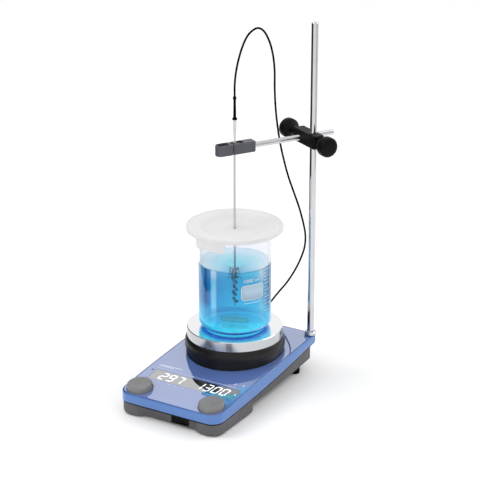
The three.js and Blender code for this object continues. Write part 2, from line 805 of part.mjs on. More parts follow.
// The slot in the body's end that the probe stands in, with a funnel above it.
function probeSlot() {
  const halfWidth = PROBE.radius + GAP;
  const bore = pillar(0, 0, halfWidth, -20, 20, 16);
  const mouth = box([-halfWidth, CLAMP.split - 5, -20], [halfWidth, 0, 20]);
  const funnel = new THREE.CylinderGeometry(4.4, 1.2, 3.2, 12).rotateX(Math.PI / 2);
  return join(bore, mouth, toSolid(moved(funnel, 0, 0, CLAMP.top - 1.4)));
}

// The jaw's nose reaches into the slot and presses on the probe.
function jawNose() {
  const top = CLAMP.top - 3;
  const back = CLAMP.split - 2;
  return box([-PROBE.radius, back, CLAMP.bottom + 2], [PROBE.radius, -PROBE.radius - GAP, top]);
}

function slotPocket(from, to, halfWidth, bottom) {
  const shape = roundedShape(-halfWidth, from, halfWidth, to, [3, 3, 3, 3]);
  return prism(shape, bottom, CLAMP.top + 5, 3);
}

function pinBore(side, radius, from, to) {
  return turnedAlongY([[0, from], [radius, from], [radius, to], [0, to]], 10)
    .translate([side * PIN.x, 0, PIN.z]);
}

function jawBlock(from, to, radii) {
  const half = CLAMP.width / 2;
  const bevel = 0.8;
  const shape = roundedShape(-half + bevel, from + bevel, half - bevel, to - bevel, radii);
  const options = {
    depth: CLAMP.top - CLAMP.bottom - 2 * bevel,
    bevelThickness: bevel,
    bevelSize: bevel,
    bevelSegments: 1,
    curveSegments: 5,
  };
  const geometry = new THREE.ExtrudeGeometry(shape, options);
  return toSolid(moved(geometry, 0, 0, CLAMP.bottom + bevel));
}

function buildClampBody() {
  return cut(
    jawBlock(CLAMP.split + 0.3, CLAMP.end, [0.5, 0.5, 2, 2]),
    probeSlot(),
    slotPocket(4.2, 12.5, 5.4, 1.4),
    holderBar(HOLDER.radius + GAP, SOCKET_START - GAP, 40),
    ...[-1, 1].flatMap((side) => [
      pinBore(side, PIN.radius + GAP, CLAMP.split - 1, 5),
      pinBore(side, 2.45, 3, 13.3),
    ]),
  );
}

function buildClampJaw() {
  const round = CLAMP.width / 2 - 0.9;
  const block = jawBlock(CLAMP.tip, CLAMP.split - 0.3, [round, round, 0.5, 0.5]);
  const pocket = slotPocket(CLAMP.tip + 2, CLAMP.split - 4.8, 5.7, -1.2);
  const bores = [-1, 1].map((side) => pinBore(side, PIN.radius + GAP, PIN.foot - GAP, 1));
  return join(cut(block, pocket, ...bores), jawNose());
}

function buildJawPin(side) {
  const profile = [
    [0, PIN.foot],
    [PIN.radius, PIN.foot],
    [PIN.radius, PIN.headAt],
    [PIN.head, PIN.headAt],
    [PIN.head, PIN.headAt + 1.6],
    [0, PIN.headAt + 1.6],
  ];
  return turnedAlongY(profile, 10).translate([side * PIN.x, 0, PIN.z]);
}

add('holding_rod', holderBar(HOLDER.radius, SOCKET_START, holderEnd), polishedSteel, clampFrame);
add('clamp_body', buildClampBody(), clampGrey, clampFrame);
add('clamp_jaw', buildClampJaw(), clampGrey, clampFrame);
[['left', -1], ['right', 1]].forEach(([label, side]) => {
  add(`jaw_pin_${label}`, buildJawPin(side), brushedSteel, clampFrame);
});

// ---------------------------------------------------------------- temperature probe and its lead

function buildProbeTube() {
  const { radius, core, tip, sleeveBottom, gripBottom } = PROBE;
  const profile = [
    [0, tip],
    [radius * 0.7, tip + 0.4],
    [radius, tip + 1.5],
    [radius, sleeveBottom - GAP],
    [core, sleeveBottom - GAP],
    [core, gripBottom - 1],
    [0, gripBottom - 1],
  ];
  return turned(profile, 12);
}

function buildProbeSleeve() {
  const [low, high] = [PROBE.sleeveBottom, PROBE.gripBottom - GAP];
  const inner = PROBE.core + GAP;
  const profile = [
    [inner, low],
    [1.05, low],
    [1.05, low + 3],
    [1.75, low + 9.5],
    [2.3, low + 17],
    [2.5, low + 25],
    [2.5, high],
    [inner, high],
    [inner, low],
  ];
  return turned(profile, 16);
}

function buildProbeGrip() {
  const { gripBottom, gripTop } = PROBE;
  const profile = [
    [0, gripBottom],
    [3.2, gripBottom],
    [3.7, gripBottom + 1],
    [3.2, gripBottom + 2],
    [2.1, gripBottom + 2.6],
    [1.7, gripTop - 5],
    [1.9, gripTop - 4],
    [2.5, gripTop - 3.2],
    [2.5, gripTop - 1],
    [1.9, gripTop],
    [0, gripTop],
  ];
  return turned(profile, 16);
}

const probeFrame = new THREE.Group();
probeFrame.position.y = PLATE.y;
stirrer.add(probeFrame);
add('probe_tube', buildProbeTube(), polishedSteel, probeFrame);
add('probe_sleeve', buildProbeSleeve(), sleeveGrey, probeFrame);
add('probe_grip', buildProbeGrip(), blackRubber, probeFrame);

// The lead rises from the grip, arches over, falls behind the holding rod and comes back to the
// plug in the rear wall.
const cableRoute = [
  [0, PLATE.y, PROBE.gripTop + GAP],
  [0, 41, 430],
  [0.5, 42, 443],
  [1.3, 45, 457],
  [1.8, 50, 469],
  [2.9, 55, 480],
  [4.5, 62, 491],
  [7, 69, 498.5],
  [11.5, 81, 503],
  [15.5, 90, 498],
  [19.5, 99, 482],
  [21.8, 105, 462],
  [21.6, 110, 439],
  [19.6, 114, 415],
  [19.1, 117, 390],
  [20.6, 120, 361],
  [23.6, 124, 331],
  [28, 127, 307],
  [33, 131, 283],
  [39, 136, 260],
  [44.5, 142, 236.5],
  [48, 148, 213],
  [48.6, 154, 192],
  [44.5, 160, 172],
  [36, 166, 152],
  [23, 172, 128],
  [6, 177, 102],
  [-9, 180, 83],
  [-23, 182, 64],
  [-32, 182.5, 49],
  [-37, 180, 37],
  [SOCKET.x, 174, 30.5],
  [SOCKET.x, PLUG.tail + GAP, SOCKET.z],
].map((point) => new THREE.Vector3(...point));

function buildCable() {
  const path = new THREE.CatmullRomCurve3(cableRoute, false, 'centripetal');
  const section = new THREE.Shape();
  for (let i = 0; i < 8; i += 1) {
    const angle = (i * Math.PI) / 4;
    const [x, y] = [CABLE_RADIUS * Math.cos(angle), CABLE_RADIUS * Math.sin(angle)];
    if (i === 0) {
      section.moveTo(x, y);
    } else {
      section.lineTo(x, y);
    }
  }
  return toSolid(new THREE.ExtrudeGeometry(section, { extrudePath: path, steps: 76 }));
}

cordPieces.push(add('probe_cable', buildCable(), blackRubber));

// ---------------------------------------------------------------- beaker, lid and stir bar

const vesselFrame = new THREE.Group();
vesselFrame.position.set(0, PLATE.y, PLATE.top + GAP);
stirrer.add(vesselFrame);

// Pushes the rim outwards on the side that faces the front, to make the pouring spout.
function withSpout(solid) {
  const start = BEAKER.height - 24;
  return solid.warp((vertex) => {
    const [x, y, z] = vertex;
    const radius = Math.hypot(x, y);
    const away = Math.abs(Math.atan2(x, -y)) / 0.3;
    if (z > start && radius > BEAKER.radius - 4 && away < 1) {
      const rise = ((z - start) / (BEAKER.height - start)) ** 2;
      const push = BEAKER.spout * rise * Math.cos((away * Math.PI) / 2) ** 2;
      vertex[0] = (x * (radius + push)) / radius;
      vertex[1] = (y * (radius + push)) / radius;
    }
  });
}

function buildBeaker() {
  const { radius, height, wall, floor, corner } = BEAKER;
  const inner = radius - wall;
  const innerCorner = corner - 1;
  const profile = [
    [0, 0.6],
    [radius - corner - 4, 0.6],
    [radius - corner - 2, 0],
    ...arcPoints(radius - corner, corner, corner, -90, 0, 4),
    [radius, height - 16],
    [radius, height - 5],
    [radius + 1.2, height - 1.6],
    [radius, height],
    [radius - 1, height - 0.4],
    [inner, height - 5],
    [inner, height - 16],
    ...arcPoints(inner - innerCorner, floor + innerCorner, innerCorner, 0, -90, 3),
    [0, floor],
  ];
  return withSpout(turned(profile, 48));
}

const lidSeat = BEAKER.height + GAP;

// The lid's skirt hangs over the spout.
function buildLidSkirt() {
  const [inner, outer, half] = [64.8, 66.8, THREE.MathUtils.degToRad(22)];
  const middle = THREE.MathUtils.degToRad(-92);
  const shape = new THREE.Shape();
  shape.absarc(0, 0, outer, middle - half, middle + half, false);
  shape.absarc(0, 0, inner, middle + half, middle - half, true);
  return prism(shape, lidSeat - LID.skirt, lidSeat + 1, 8);
}

function buildLid() {
  const { radius, thickness, rim, dishFloor, dishEdge, drop, hole } = LID;
  const top = lidSeat + thickness;
  const profile = [
    [hole, lidSeat - drop],
    [dishFloor + 0.5, lidSeat - drop],
    [dishEdge + 0.8, lidSeat],
    [radius - 2.2, lidSeat],
    [radius - 2.2, lidSeat - rim + 0.4],
    [radius - 1.8, lidSeat - rim],
    [radius - 0.5, lidSeat - rim],
    [radius, lidSeat - rim + 0.5],
    [radius, top + 0.6],
    [radius - 1, top + 1],
    [radius - 2, top],
    [dishEdge, top],
    [dishFloor, top - drop],
    [hole, top - drop],
    [hole, lidSeat - drop],
  ];
  return join(turned(profile, 48), buildLidSkirt());
}

function buildStirBar() {
  const { radius, length, ring, turn } = STIR_BAR;
  const bar = new THREE.CapsuleGeometry(radius, length - 2 * radius, 3, 14).rotateZ(Math.PI / 2);
  const band = turnedAlongX([[0, -2], [ring - 0.4, -2], [ring, -1.4], [ring, 1.4],
    [ring - 0.4, 2], [0, 2]], 16);
  return join(toSolid(bar), band)
    .translate([0, 0, BEAKER.floor + GAP + ring])
    .rotate([0, 0, turn]);
}

add('beaker', buildBeaker(), clearGlass, vesselFrame);
add('lid', buildLid(), siliconeWhite, vesselFrame);
add('stir_bar', buildStirBar(), whitePlastic, vesselFrame);

// ---------------------------------------------------------------- origin at the bottom centre

stirrer.updateMatrixWorld(true);
const extent = new THREE.Box3();
stirrer.traverse((piece) => {
  if (piece.isMesh && !cordPieces.includes(piece)) {
    extent.expandByObject(piece, true);
  }
});
const middle = extent.getCenter(new THREE.Vector3());
stirrer.position.set(-middle.x, -middle.y, -extent.min.z);

export default stirrer;
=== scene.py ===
import math
import random

import bmesh
import bpy
from mathutils import Matrix, Vector


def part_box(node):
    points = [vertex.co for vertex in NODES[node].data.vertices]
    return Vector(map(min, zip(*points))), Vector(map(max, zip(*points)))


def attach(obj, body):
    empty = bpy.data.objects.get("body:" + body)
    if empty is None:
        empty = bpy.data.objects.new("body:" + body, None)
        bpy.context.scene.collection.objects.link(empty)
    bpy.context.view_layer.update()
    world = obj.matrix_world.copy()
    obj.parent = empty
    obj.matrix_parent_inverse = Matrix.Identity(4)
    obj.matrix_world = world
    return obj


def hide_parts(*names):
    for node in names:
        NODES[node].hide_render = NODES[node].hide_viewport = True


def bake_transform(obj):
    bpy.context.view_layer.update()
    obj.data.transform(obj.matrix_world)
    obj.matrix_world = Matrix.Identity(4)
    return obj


# ------------------------------------------------------------------ the CAD frame

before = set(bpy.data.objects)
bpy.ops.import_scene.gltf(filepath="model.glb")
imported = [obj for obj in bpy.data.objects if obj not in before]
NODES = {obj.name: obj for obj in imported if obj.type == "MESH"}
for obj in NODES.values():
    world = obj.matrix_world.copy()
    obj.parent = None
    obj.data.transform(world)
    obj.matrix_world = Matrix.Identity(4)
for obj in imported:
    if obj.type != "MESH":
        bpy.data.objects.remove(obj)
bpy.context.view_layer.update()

MM = 0.001
BASE_WIDTH, BASE_DEPTH = 160, 270
cover_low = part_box("upper_cover")[0]
ORIGIN = Vector((cover_low.x + BASE_WIDTH / 2 * MM, cover_low.y + BASE_DEPTH / 2 * MM, 0))
PLATE_Y = 41
ROD_PLACE = (73.5, 128)
KNOB_X, KNOB_Y = 57.5, -113
DISPLAY_X, DISPLAY_Y = 4, -73.5
FRONT_CORNER, REAR_CORNER = 18, 5

# The blue top's line from front to rear, and the line of the seam under it.
TOP_HEIGHT, TOP_SLOPE, TOP_CROWN = 45.2, 0.078, 0.00014
SEAM_HEIGHT, SEAM_SLOPE, SEAM_SAG = 27.2, 0.0875, 0.00024

VESSEL_Z = 85.3
BEAKER_RADIUS = 50.8
BEAKER_HEIGHT = 145
GLASS_WALL = 2
LIQUID_RADIUS = BEAKER_RADIUS - 0.4
SPOUT_REACH, SPOUT_DEPTH, SPOUT_HALF_ANGLE = 5, 24, 0.3


def at(x, y, z):
    """A point of the base's own frame, in millimetres, as a point of the row frame."""
    return Vector((x, y, z)) * MM + ORIGIN


def top_height(y):
    return TOP_HEIGHT + TOP_SLOPE * y - TOP_CROWN * y * y


def seam_height(y):
    return SEAM_HEIGHT + SEAM_SLOPE * y + SEAM_SAG * y * y


def on_top(x, y):
    """The frame of a piece on the sloping top at x, y: its z is square to the surface."""
    tilt = math.atan(TOP_SLOPE - 2 * TOP_CROWN * y)
    return Matrix.Translation(at(x, y, top_height(y))) @ Matrix.Rotation(tilt, 4, "X")


# ------------------------------------------------------------------ camera

VIEW_AZIMUTH, VIEW_ELEVATION = 31.24, 20.59
CAMERA_PLACE = (1166.2, -1867.8, 1051.2)
LENS, SENSOR_WIDTH = 129.75, 36
FAR_CLIP = 50

# The main view's own right and away directions along the ground, which the liquid's painted reflection
# and painted shade follow.
VIEW_RIGHT = Vector((0.855, 0.519, 0))
VIEW_AWAY = Vector((-0.519, 0.855, 0))


def make_camera():
    azimuth, elevation = math.radians(VIEW_AZIMUTH), math.radians(VIEW_ELEVATION)
    back = Vector(
        (
            math.sin(azimuth) * math.cos(elevation),
            -math.cos(azimuth) * math.cos(elevation),
            math.sin(elevation),
        )
    )
    data = bpy.data.cameras.new("camera")
    data.lens = LENS
    data.sensor_width = SENSOR_WIDTH
    data.clip_end = FAR_CLIP
    camera = bpy.data.objects.new("camera", data)
    camera.location = at(*CAMERA_PLACE)
    camera.rotation_mode = "QUATERNION"
    camera.rotation_quaternion = (-back).to_track_quat("-Z", "Y")
    bpy.context.scene.collection.objects.link(camera)
    bpy.context.scene.camera = camera


make_camera()

# ------------------------------------------------------------------ mesh helpers

SMOOTH_ANGLE = 40
CORNER_ANGLE = 35
WELD_DISTANCE = 1e-6


def new_object(name, vertices, faces, smooth_angle=SMOOTH_ANGLE):
    mesh = bpy.data.meshes.new(name)
    mesh.from_pydata([tuple(v) for v in vertices], [], faces)
    mesh.update()
    shade(mesh, smooth_angle)
    made = bpy.data.objects.new(name, mesh)
    bpy.context.scene.collection.objects.link(made)
    return made


def shade(mesh, smooth_angle=SMOOTH_ANGLE):
    """Shades a mesh smooth, apart from the edges that turn more than the angle in degrees."""
    mesh.shade_smooth()
    mesh.set_sharp_from_angle(angle=math.radians(smooth_angle))


def tidy_normals(obj):
    """Points every face of a closed mesh outwards."""
    work = bmesh.new()
    work.from_mesh(obj.data)
    bmesh.ops.recalc_face_normals(work, faces=work.faces)
    work.to_mesh(obj.data)
    work.free()


def without_repeats(corners):
    return [c for n, c in enumerate(corners) if c not in corners[:n]]


def ring_faces(rings, count):
    """The faces between rings of vertices that follow one another, with count in each ring."""
    faces = []
    for i in range(rings - 1):
        low, high = i * count, (i + 1) * count
        for k in range(count):
            m = (k + 1) % count
            faces.append([low + k, low + m, high + m, high + k])
    return faces


def corner_drop(corner, inside):
    """How far a round corner draws an edge back, at a distance inside the strip's end."""
    return corner - math.sqrt(max(corner**2 - (corner - inside) ** 2, 0)) if inside < corner else 0


def lathe_data(profile, segments):
    """Vertices and faces of a profile of [radius, height] turned about +Z, in millimetres."""
    vertices, rows = [], []
    for radius, height in profile:
        if radius == 0:
            rows.append([len(vertices)] * segments)
            vertices.append(Vector((0, 0, height)))
            continue
        rows.append(list(range(len(vertices), len(vertices) + segments)))
        for i in range(segments):
            angle = 2 * math.pi * i / segments
            vertices.append(Vector((radius * math.cos(angle), radius * math.sin(angle), height)))
    faces = []
    for low, high in zip(rows, rows[1:]):
        for i in range(segments):
            j = (i + 1) % segments
            face = without_repeats([low[i], low[j], high[j], high[i]])
            if len(face) > 2:
                faces.append(face)
    return vertices, faces


def lathe(name, profile, segments, closed=False, warp=None):
    """A turned piece on the vessel's axis, with its heights counted from the vessel's underside."""
    points = profile + [profile[0]] if closed else profile
    vertices, faces = lathe_data(points, segments)
    if warp:
        vertices = [warp(v) for v in vertices]
    vertices = [at(v.x, v.y + PLATE_Y, v.z + VESSEL_Z) for v in vertices]
    made = new_object(name, vertices, faces)
    weld(made)
    tidy_normals(made)
    return made


def weld(obj):
    work = bmesh.new()
    work.from_mesh(obj.data)
    bmesh.ops.remove_doubles(work, verts=work.verts, dist=WELD_DISTANCE)
    work.to_mesh(obj.data)
    work.free()


def arc(cx, cz, radius, start, end, count):
    """Points of an arc about cx, cz, from one angle in degrees to another, in count steps."""
    angles = [math.radians(start + (end - start) * i / count) for i in range(count + 1)]
    return [(cx + radius * math.cos(a), cz + radius * math.sin(a)) for a in angles]


def apply_modifiers(obj):
    graph = bpy.context.evaluated_depsgraph_get()
    mesh = bpy.data.meshes.new_from_object(obj.evaluated_get(graph))
    obj.modifiers.clear()
    obj.data = mesh


def cut_away(obj, cutters):
    """Cuts each closed cutter out of obj and removes it."""
    for cutter in cutters:
        modifier = obj.modifiers.new("cut", "BOOLEAN")
        modifier.object = cutter
        modifier.operation = "DIFFERENCE"
        modifier.solver = "EXACT"
    apply_modifiers(obj)
    for cutter in cutters:
        bpy.data.objects.remove(cutter)


def thicken(obj, depth):
    """Gives an open sheet a thickness in metres, outwards."""
    modifier = obj.modifiers.new("thickness", "SOLIDIFY")
    modifier.thickness = depth
    modifier.offset = 1
    apply_modifiers(obj)


def merge(name, objects):
    """Joins several made pieces into one."""
    work = bmesh.new()
    for obj in objects:
        piece = obj.data.copy()
        piece.transform(obj.matrix_world)
        work.from_mesh(piece)
        bpy.data.meshes.remove(piece)
    mesh = bpy.data.meshes.new(name)
    work.to_mesh(mesh)
    work.free()
    for obj in objects:
        bpy.data.objects.remove(obj)
    made = bpy.data.objects.new(name, mesh)
    bpy.context.scene.collection.objects.link(made)
    return made


# ------------------------------------------------------------------ materials


class Shader:
    """A procedural material: one Principled shader fed by textures in the row frame."""

    def __init__(self, name, **inputs):
        self.material = bpy.data.materials.new(name)
        self.material.use_nodes = True
        self.tree = self.material.node_tree
        self.bsdf = self.tree.nodes["Principled BSDF"]
        for key, value in inputs.items():
            socket = self.bsdf.inputs[key.replace("_", " ")]
            if key in ("Base_Color", "Emission_Color") and len(value) == 3:
                value = (*value, 1)
            socket.default_value = value
        self.place = self.tree.nodes.new("ShaderNodeTexCoord").outputs["Object"]

    def node(self, kind, **settings):
        made = self.tree.nodes.new(kind)
        for key, value in settings.items():
            setattr(made, key, value)
        return made

    def link(self, output, target):
        self.tree.links.new(output, target)

    def stretched(self, scale):
        """The place, stretched differently along each axis."""
        mapping = self.node("ShaderNodeMapping")
        mapping.inputs["Scale"].default_value = scale
        self.link(self.place, mapping.inputs["Vector"])
        return mapping.outputs["Vector"]

    def noise(self, scale, detail=3, roughness=0.55, vector=None):
        made = self.node("ShaderNodeTexNoise")
        made.inputs["Scale"].default_value = scale
        made.inputs["Detail"].default_value = detail
        made.inputs["Roughness"].default_value = roughness
        self.link(vector or self.place, made.inputs["Vector"])
        return made.outputs["Fac"]

    def ramp(self, value, low, high):
        """The value, mapped from 0.3..0.7 to low..high."""
        made = self.node("ShaderNodeMapRange")
        made.inputs["From Min"].default_value = 0.3
        made.inputs["From Max"].default_value = 0.7
        made.inputs["To Min"].default_value = low
        made.inputs["To Max"].default_value = high
        self.link(value, made.inputs["Value"])
        return made.outputs["Result"]

    def colours(self, value, *stops):
        """A colour ramp from (position, colour) stops."""
        made = self.node("ShaderNodeValToRGB")
        elements = made.color_ramp.elements
        elements[0].position, elements[1].position = stops[0][0], stops[-1][0]
        elements[0].color, elements[1].color = (*stops[0][1], 1), (*stops[-1][1], 1)
        for position, colour in stops[1:-1]:
            elements.new(position).color = (*colour, 1)
        self.link(value, made.inputs["Fac"])
        return made.outputs["Color"]

    def rough(self, scale, low, high, **options):
        self.link(self.ramp(self.noise(scale, **options), low, high), self.bsdf.inputs["Roughness"])
        return self

    def tint(self, scale, dark, light, **options):
        value = self.noise(scale, **options)
        colour = self.colours(value, (0.35, dark), (0.65, light))
        self.link(colour, self.bsdf.inputs["Base Color"])
        return self

    def bump(self, scale, height, strength=0.3, **options):
        made = self.node("ShaderNodeBump")
        made.inputs["Strength"].default_value = strength
        made.inputs["Distance"].default_value = height * MM
        self.link(self.noise(scale, **options), made.inputs["Height"])
        self.link(made.outputs["Normal"], self.bsdf.inputs["Normal"])
        return self


def srgb(red, green, blue):
    """An 8-bit screen colour as linear light."""
    return tuple(
        c / 12.92 if c <= 0.04045 else ((c + 0.055) / 1.055) ** 2.4
        for c in (red / 255, green / 255, blue / 255)
    )


def moulded(name, screen, rough=(0.42, 0.55), grain=0.06, spread=0.08, shine=0.5):
    """Fine-grained moulded plastic with a slight unevenness of tone."""
    colour = srgb(*screen)
    shader = Shader(name, Specular_IOR_Level=shine)
    shader.tint(60, [c * (1 - spread) for c in colour], [c * (1 + spread) for c in colour])
    shader.rough(240, *rough)
    return shader.bump(2200, grain, 0.35, detail=2).material


LINES_SCALE = 900


def metal(name, screen, rough, stretch):
    """Bare metal with fine drawn or turned lines that run where the stretch is small."""
    colour = srgb(*screen)
    shader = Shader(name, Metallic=1.0)
    lines = shader.stretched(stretch)
    shader.tint(30, [c * 0.93 for c in colour], colour)
    shader.rough(LINES_SCALE, *rough, vector=lines, detail=2)
    return shader.bump(LINES_SCALE, 0.01, 0.2, vector=lines, detail=2).material


def gloss_blue(name, screen, index, rough):
    colour = srgb(*screen)
    shader = Shader(name, IOR=index)
    shader.tint(14, [c * 0.96 for c in colour], [c * 1.04 for c in colour])
    shader.rough(120, *rough)
    return shader.bump(500, 0.001, 0.05, detail=2).material


BLUE_PANE = gloss_blue("blue_pane", (92, 120, 184), 3.6, (0.015, 0.035))
BLUE_COVER = gloss_blue("blue_cover", (84, 124, 187), 1.5, (0.12, 0.2))
HOUSING_GREY = moulded("housing_grey", (83, 81, 84))
KNOB_GREY = moulded("knob_grey", (121, 121, 122), rough=(0.36, 0.48))
BLACK_PLASTIC = moulded("black_plastic", (8, 8, 8), rough=(0.38, 0.5), shine=0.12)
RING_BLACK = moulded("ring_black", (16, 16, 17), rough=(0.3, 0.42), shine=0.3)
CLAMP_GREY = moulded("clamp_grey", (78, 78, 86), rough=(0.35, 0.48), shine=0.35)
RUBBER = moulded("rubber", (8, 8, 8), rough=(0.6, 0.8), grain=0.1, shine=0.03)
CABLE_BLACK = moulded("cable_black", (2, 2, 2), rough=(0.5, 0.6), grain=0.03, shine=0.01)
SLEEVE_GREY = moulded("sleeve_grey", (205, 206, 205), rough=(0.35, 0.5))
WHITE_PLASTIC = moulded("white_plastic", (238, 239, 236), rough=(0.3, 0.4), grain=0.02, spread=0.02)
INSULATION = moulded("insulation", (200, 190, 170), rough=(0.8, 0.95), grain=0.4)
BOARD_GREEN = moulded("board_green", (30, 90, 60))
CHROME = metal("chrome", (208, 209, 212), (0.04, 0.1), (1, 1, 0.02))
STEEL = metal("steel", (190, 191, 194), (0.2, 0.34), (1, 1, 0.05))
BRASS = metal("brass", (190, 160, 95), (0.2, 0.35), (1, 1, 1))
MAGNET = metal("magnet", (86, 86, 90), (0.35, 0.5), (1, 1, 1))
TUBE_METAL = metal("tube_metal", (212, 213, 216), (0.25, 0.35), (1, 1, 0.05))


def plate_metal():
    """Turned metal whose colour is darker where it faces sideways, on the upright edge, than where it
    faces up, on the flat top.
    """
    shader = Shader("plate_metal", Metallic=1.0)
    lines = shader.stretched((0.15, 0.15, 3))
    geometry = shader.node("ShaderNodeNewGeometry")
    parts = shader.node("ShaderNodeSeparateXYZ")
    shader.link(geometry.outputs["Normal"], parts.inputs["Vector"])
    stops = [(0.0, srgb(196, 199, 202)), (0.5, srgb(202, 204, 207)), (0.9, srgb(240, 241, 243))]
    colour = shader.colours(parts.outputs["Z"], *stops)
    shader.link(colour, shader.bsdf.inputs["Base Color"])
    shader.rough(LINES_SCALE, 0.12, 0.22, vector=lines, detail=2)
    return shader.bump(LINES_SCALE, 0.004, 0.2, vector=lines, detail=2).material


PLATE_METAL = plate_metal()


def window_black():
    shader = Shader("window_black", IOR=3.8, Coat_Weight=1.0, Coat_IOR=2.8, Coat_Roughness=0.01)
    shader.tint(40, srgb(6, 7, 9), srgb(12, 13, 16))
    return shader.rough(200, 0.01, 0.02).material


def glowing(name, screen, strength):
    colour = srgb(*screen)
    shader = Shader(name, Emission_Color=colour, Emission_Strength=strength, Roughness=0.5)
    return shader.tint(400, [c * 0.9 for c in colour], colour).material


def printed(name, screen):
    colour = srgb(*screen)
    shader = Shader(name, Roughness=0.55)
    return shader.tint(900, [c * 0.92 for c in colour], colour).material


def clear_glass():
    shader = Shader("clear_glass", IOR=1.47, Transmission_Weight=1.0)
    shader.tint(25, (0.88, 0.885, 0.92), (0.91, 0.915, 0.945))
    return shader.rough(60, 0.0, 0.015).material


def blue_liquid():
    """A clear blue dye with upright streaks of painted reflection and painted shade in front, a top
    that whitens towards the glass with painted sheen, a rear that pales upwards with painted light,
    and walls and floor that give off a little painted light, with painted glow and shade at the foot.

    The painted streaks and the parting of front from rear are fixed to the vessel, but they are laid
    out along VIEW_RIGHT and VIEW_AWAY, so they suit the main view and look arbitrary from the sides.
    Light crosses the wall twice, so the front carries each streak's colour less what the rear adds.
    """
    # The emission lets the liquid give off painted light, though it is no lamp.
    shader = Shader(
        "blue_liquid", IOR=1.04, Transmission_Weight=0.92, Roughness=0.0, Emission_Strength=0.3
    )
    axis = at(0, PLATE_Y, 0)
    radius = LIQUID_RADIUS * MM

    def along(direction, low, high):
        """The place along a direction, from 0 at low to 1 at high, in metres."""
        product = shader.node("ShaderNodeVectorMath", operation="DOT_PRODUCT")
        shader.link(shader.place, product.inputs[0])
        product.inputs[1].default_value = direction
        scaled = shader.node("ShaderNodeMapRange")
        scaled.inputs["From Min"].default_value = low
        scaled.inputs["From Max"].default_value = high
        shader.link(product.outputs["Value"], scaled.inputs["Value"])
        return scaled.outputs["Result"]

    def blended(share, below, above):
        """One colour where the share is 0 and another where it is 1."""
        mix = shader.node("ShaderNodeMix", data_type="RGBA")
        shader.link(share, mix.inputs[0])
        for socket, colour in ((mix.inputs[6], below), (mix.inputs[7], above)):
            if isinstance(colour, tuple):
                socket.default_value = (*colour, 1)
            else:
                shader.link(colour, socket)
        return mix.outputs[2]

    dye = srgb(44, 158, 208)

    def deep(*screen):
        """The front's tint that gives this screen colour together with the rear's."""
        return tuple(min(c * c / d, 1) for c, d in zip(srgb(*screen), dye))

    centre = VIEW_RIGHT.dot(axis)
    # Upright streaks of painted reflection and painted shade across the front, laid out for the main
    # view.
    painted_streaks = shader.colours(
        along(VIEW_RIGHT, centre - radius, centre + radius),
        (0.04, deep(44, 140, 190)),
        (0.08, deep(36, 116, 176)),
        (0.1, deep(12, 42, 104)),
        (0.12, deep(28, 100, 166)),
        (0.17, deep(40, 136, 196)),
        (0.185, deep(106, 192, 228)),
        (0.24, deep(104, 190, 226)),
        (0.255, deep(44, 144, 200)),
        (0.4, deep(42, 158, 207)),
        (0.7, deep(42, 168, 214)),
        (0.82, deep(62, 176, 216)),
        (0.865, deep(100, 182, 208)),
        (0.91, deep(64, 156, 196)),
        (0.95, deep(30, 116, 170)),
    )
    foot = VESSEL_Z * MM
    up = Vector((0, 0, 1))
    # Near the foot, rings of painted glow with a dark ring of painted shade, used both as colour and
    # as light.
    glow = shader.colours(
        along(up, foot, foot + 0.03),
        (0.085, (0.1, 0.72, 0.85)),
        (0.1, deep(30, 92, 182)),
        (0.16, deep(40, 124, 205)),
        (0.24, (0.1, 0.72, 0.85)),
        (0.8, (0.06, 0.6, 0.8)),
    )
    above_foot = along(up, foot + 0.014, foot + 0.045)
    body = blended(above_foot, glow, painted_streaks)

    offset = shader.node("ShaderNodeVectorMath", operation="SUBTRACT")
    shader.link(shader.place, offset.inputs[0])
    offset.inputs[1].default_value = axis
    flat = shader.node("ShaderNodeVectorMath", operation="MULTIPLY")
    shader.link(offset.outputs["Vector"], flat.inputs[0])
    flat.inputs[1].default_value = (1, 1, 0)
    reach = shader.node("ShaderNodeVectorMath", operation="LENGTH")
    shader.link(flat.outputs["Vector"], reach.inputs[0])
    to_edge = shader.node("ShaderNodeMapRange")
    to_edge.inputs["From Max"].default_value = radius
    shader.link(reach.outputs["Value"], to_edge.inputs["Value"])
    # The top is cyan in the middle and nearly white towards the glass: painted sheen.
    surface = shader.colours(
        to_edge.outputs["Result"],
        (0.2, (0.14, 0.66, 0.78)),
        (0.6, (0.5, 0.86, 0.93)),
        (0.8, (0.93, 0.97, 0.99)),
    )
    wall = shader.colours(to_edge.outputs["Result"], (0.955, (0, 0, 0)), (0.975, (1, 1, 1)))
    depth = VIEW_AWAY.dot(axis)
    front = along(VIEW_AWAY, depth + 0.002, depth - 0.002)
    low_part = along(up, foot + 0.016, foot + 0.012)
    on_wall = shader.node("ShaderNodeMath", operation="MAXIMUM")
    shader.link(wall, on_wall.inputs[0])
    shader.link(low_part, on_wall.inputs[1])
    on_wall = on_wall.outputs["Value"]
    # The rear is the dye's colour low down and pales towards the top: painted light.
    rear = blended(along(up, foot + 0.05, foot + 0.068), dye, (0.62, 0.87, 0.94))
    colour = blended(on_wall, surface, blended(front, rear, body))
    shader.link(colour, shader.bsdf.inputs["Base Color"])
    # Walls and floor give off painted light: the painted glow near the foot and a faint blue above it;
    # the top gives off none.
    low_light = blended(above_foot, glow, (0.0, 0.05, 0.09))
    lit = blended(on_wall, (0, 0, 0), low_light)
    shader.link(lit, shader.bsdf.inputs["Emission Color"])
    return shader.bump(45, 0.4, 0.1).material


def frosted_lid():
    colour = srgb(227, 227, 228)
    shader = Shader("frosted_lid", IOR=1.42, Transmission_Weight=0.1)
    shader.tint(30, [c * 0.96 for c in colour], colour)
    shader.rough(300, 0.38, 0.5)
    return shader.bump(1500, 0.02, 0.2).material


def bubble_blue():
    shader = Shader("bubble_blue", Specular_IOR_Level=0.3, Roughness=0.3)
    return shader.tint(150, srgb(4, 8, 40), srgb(26, 50, 100)).material


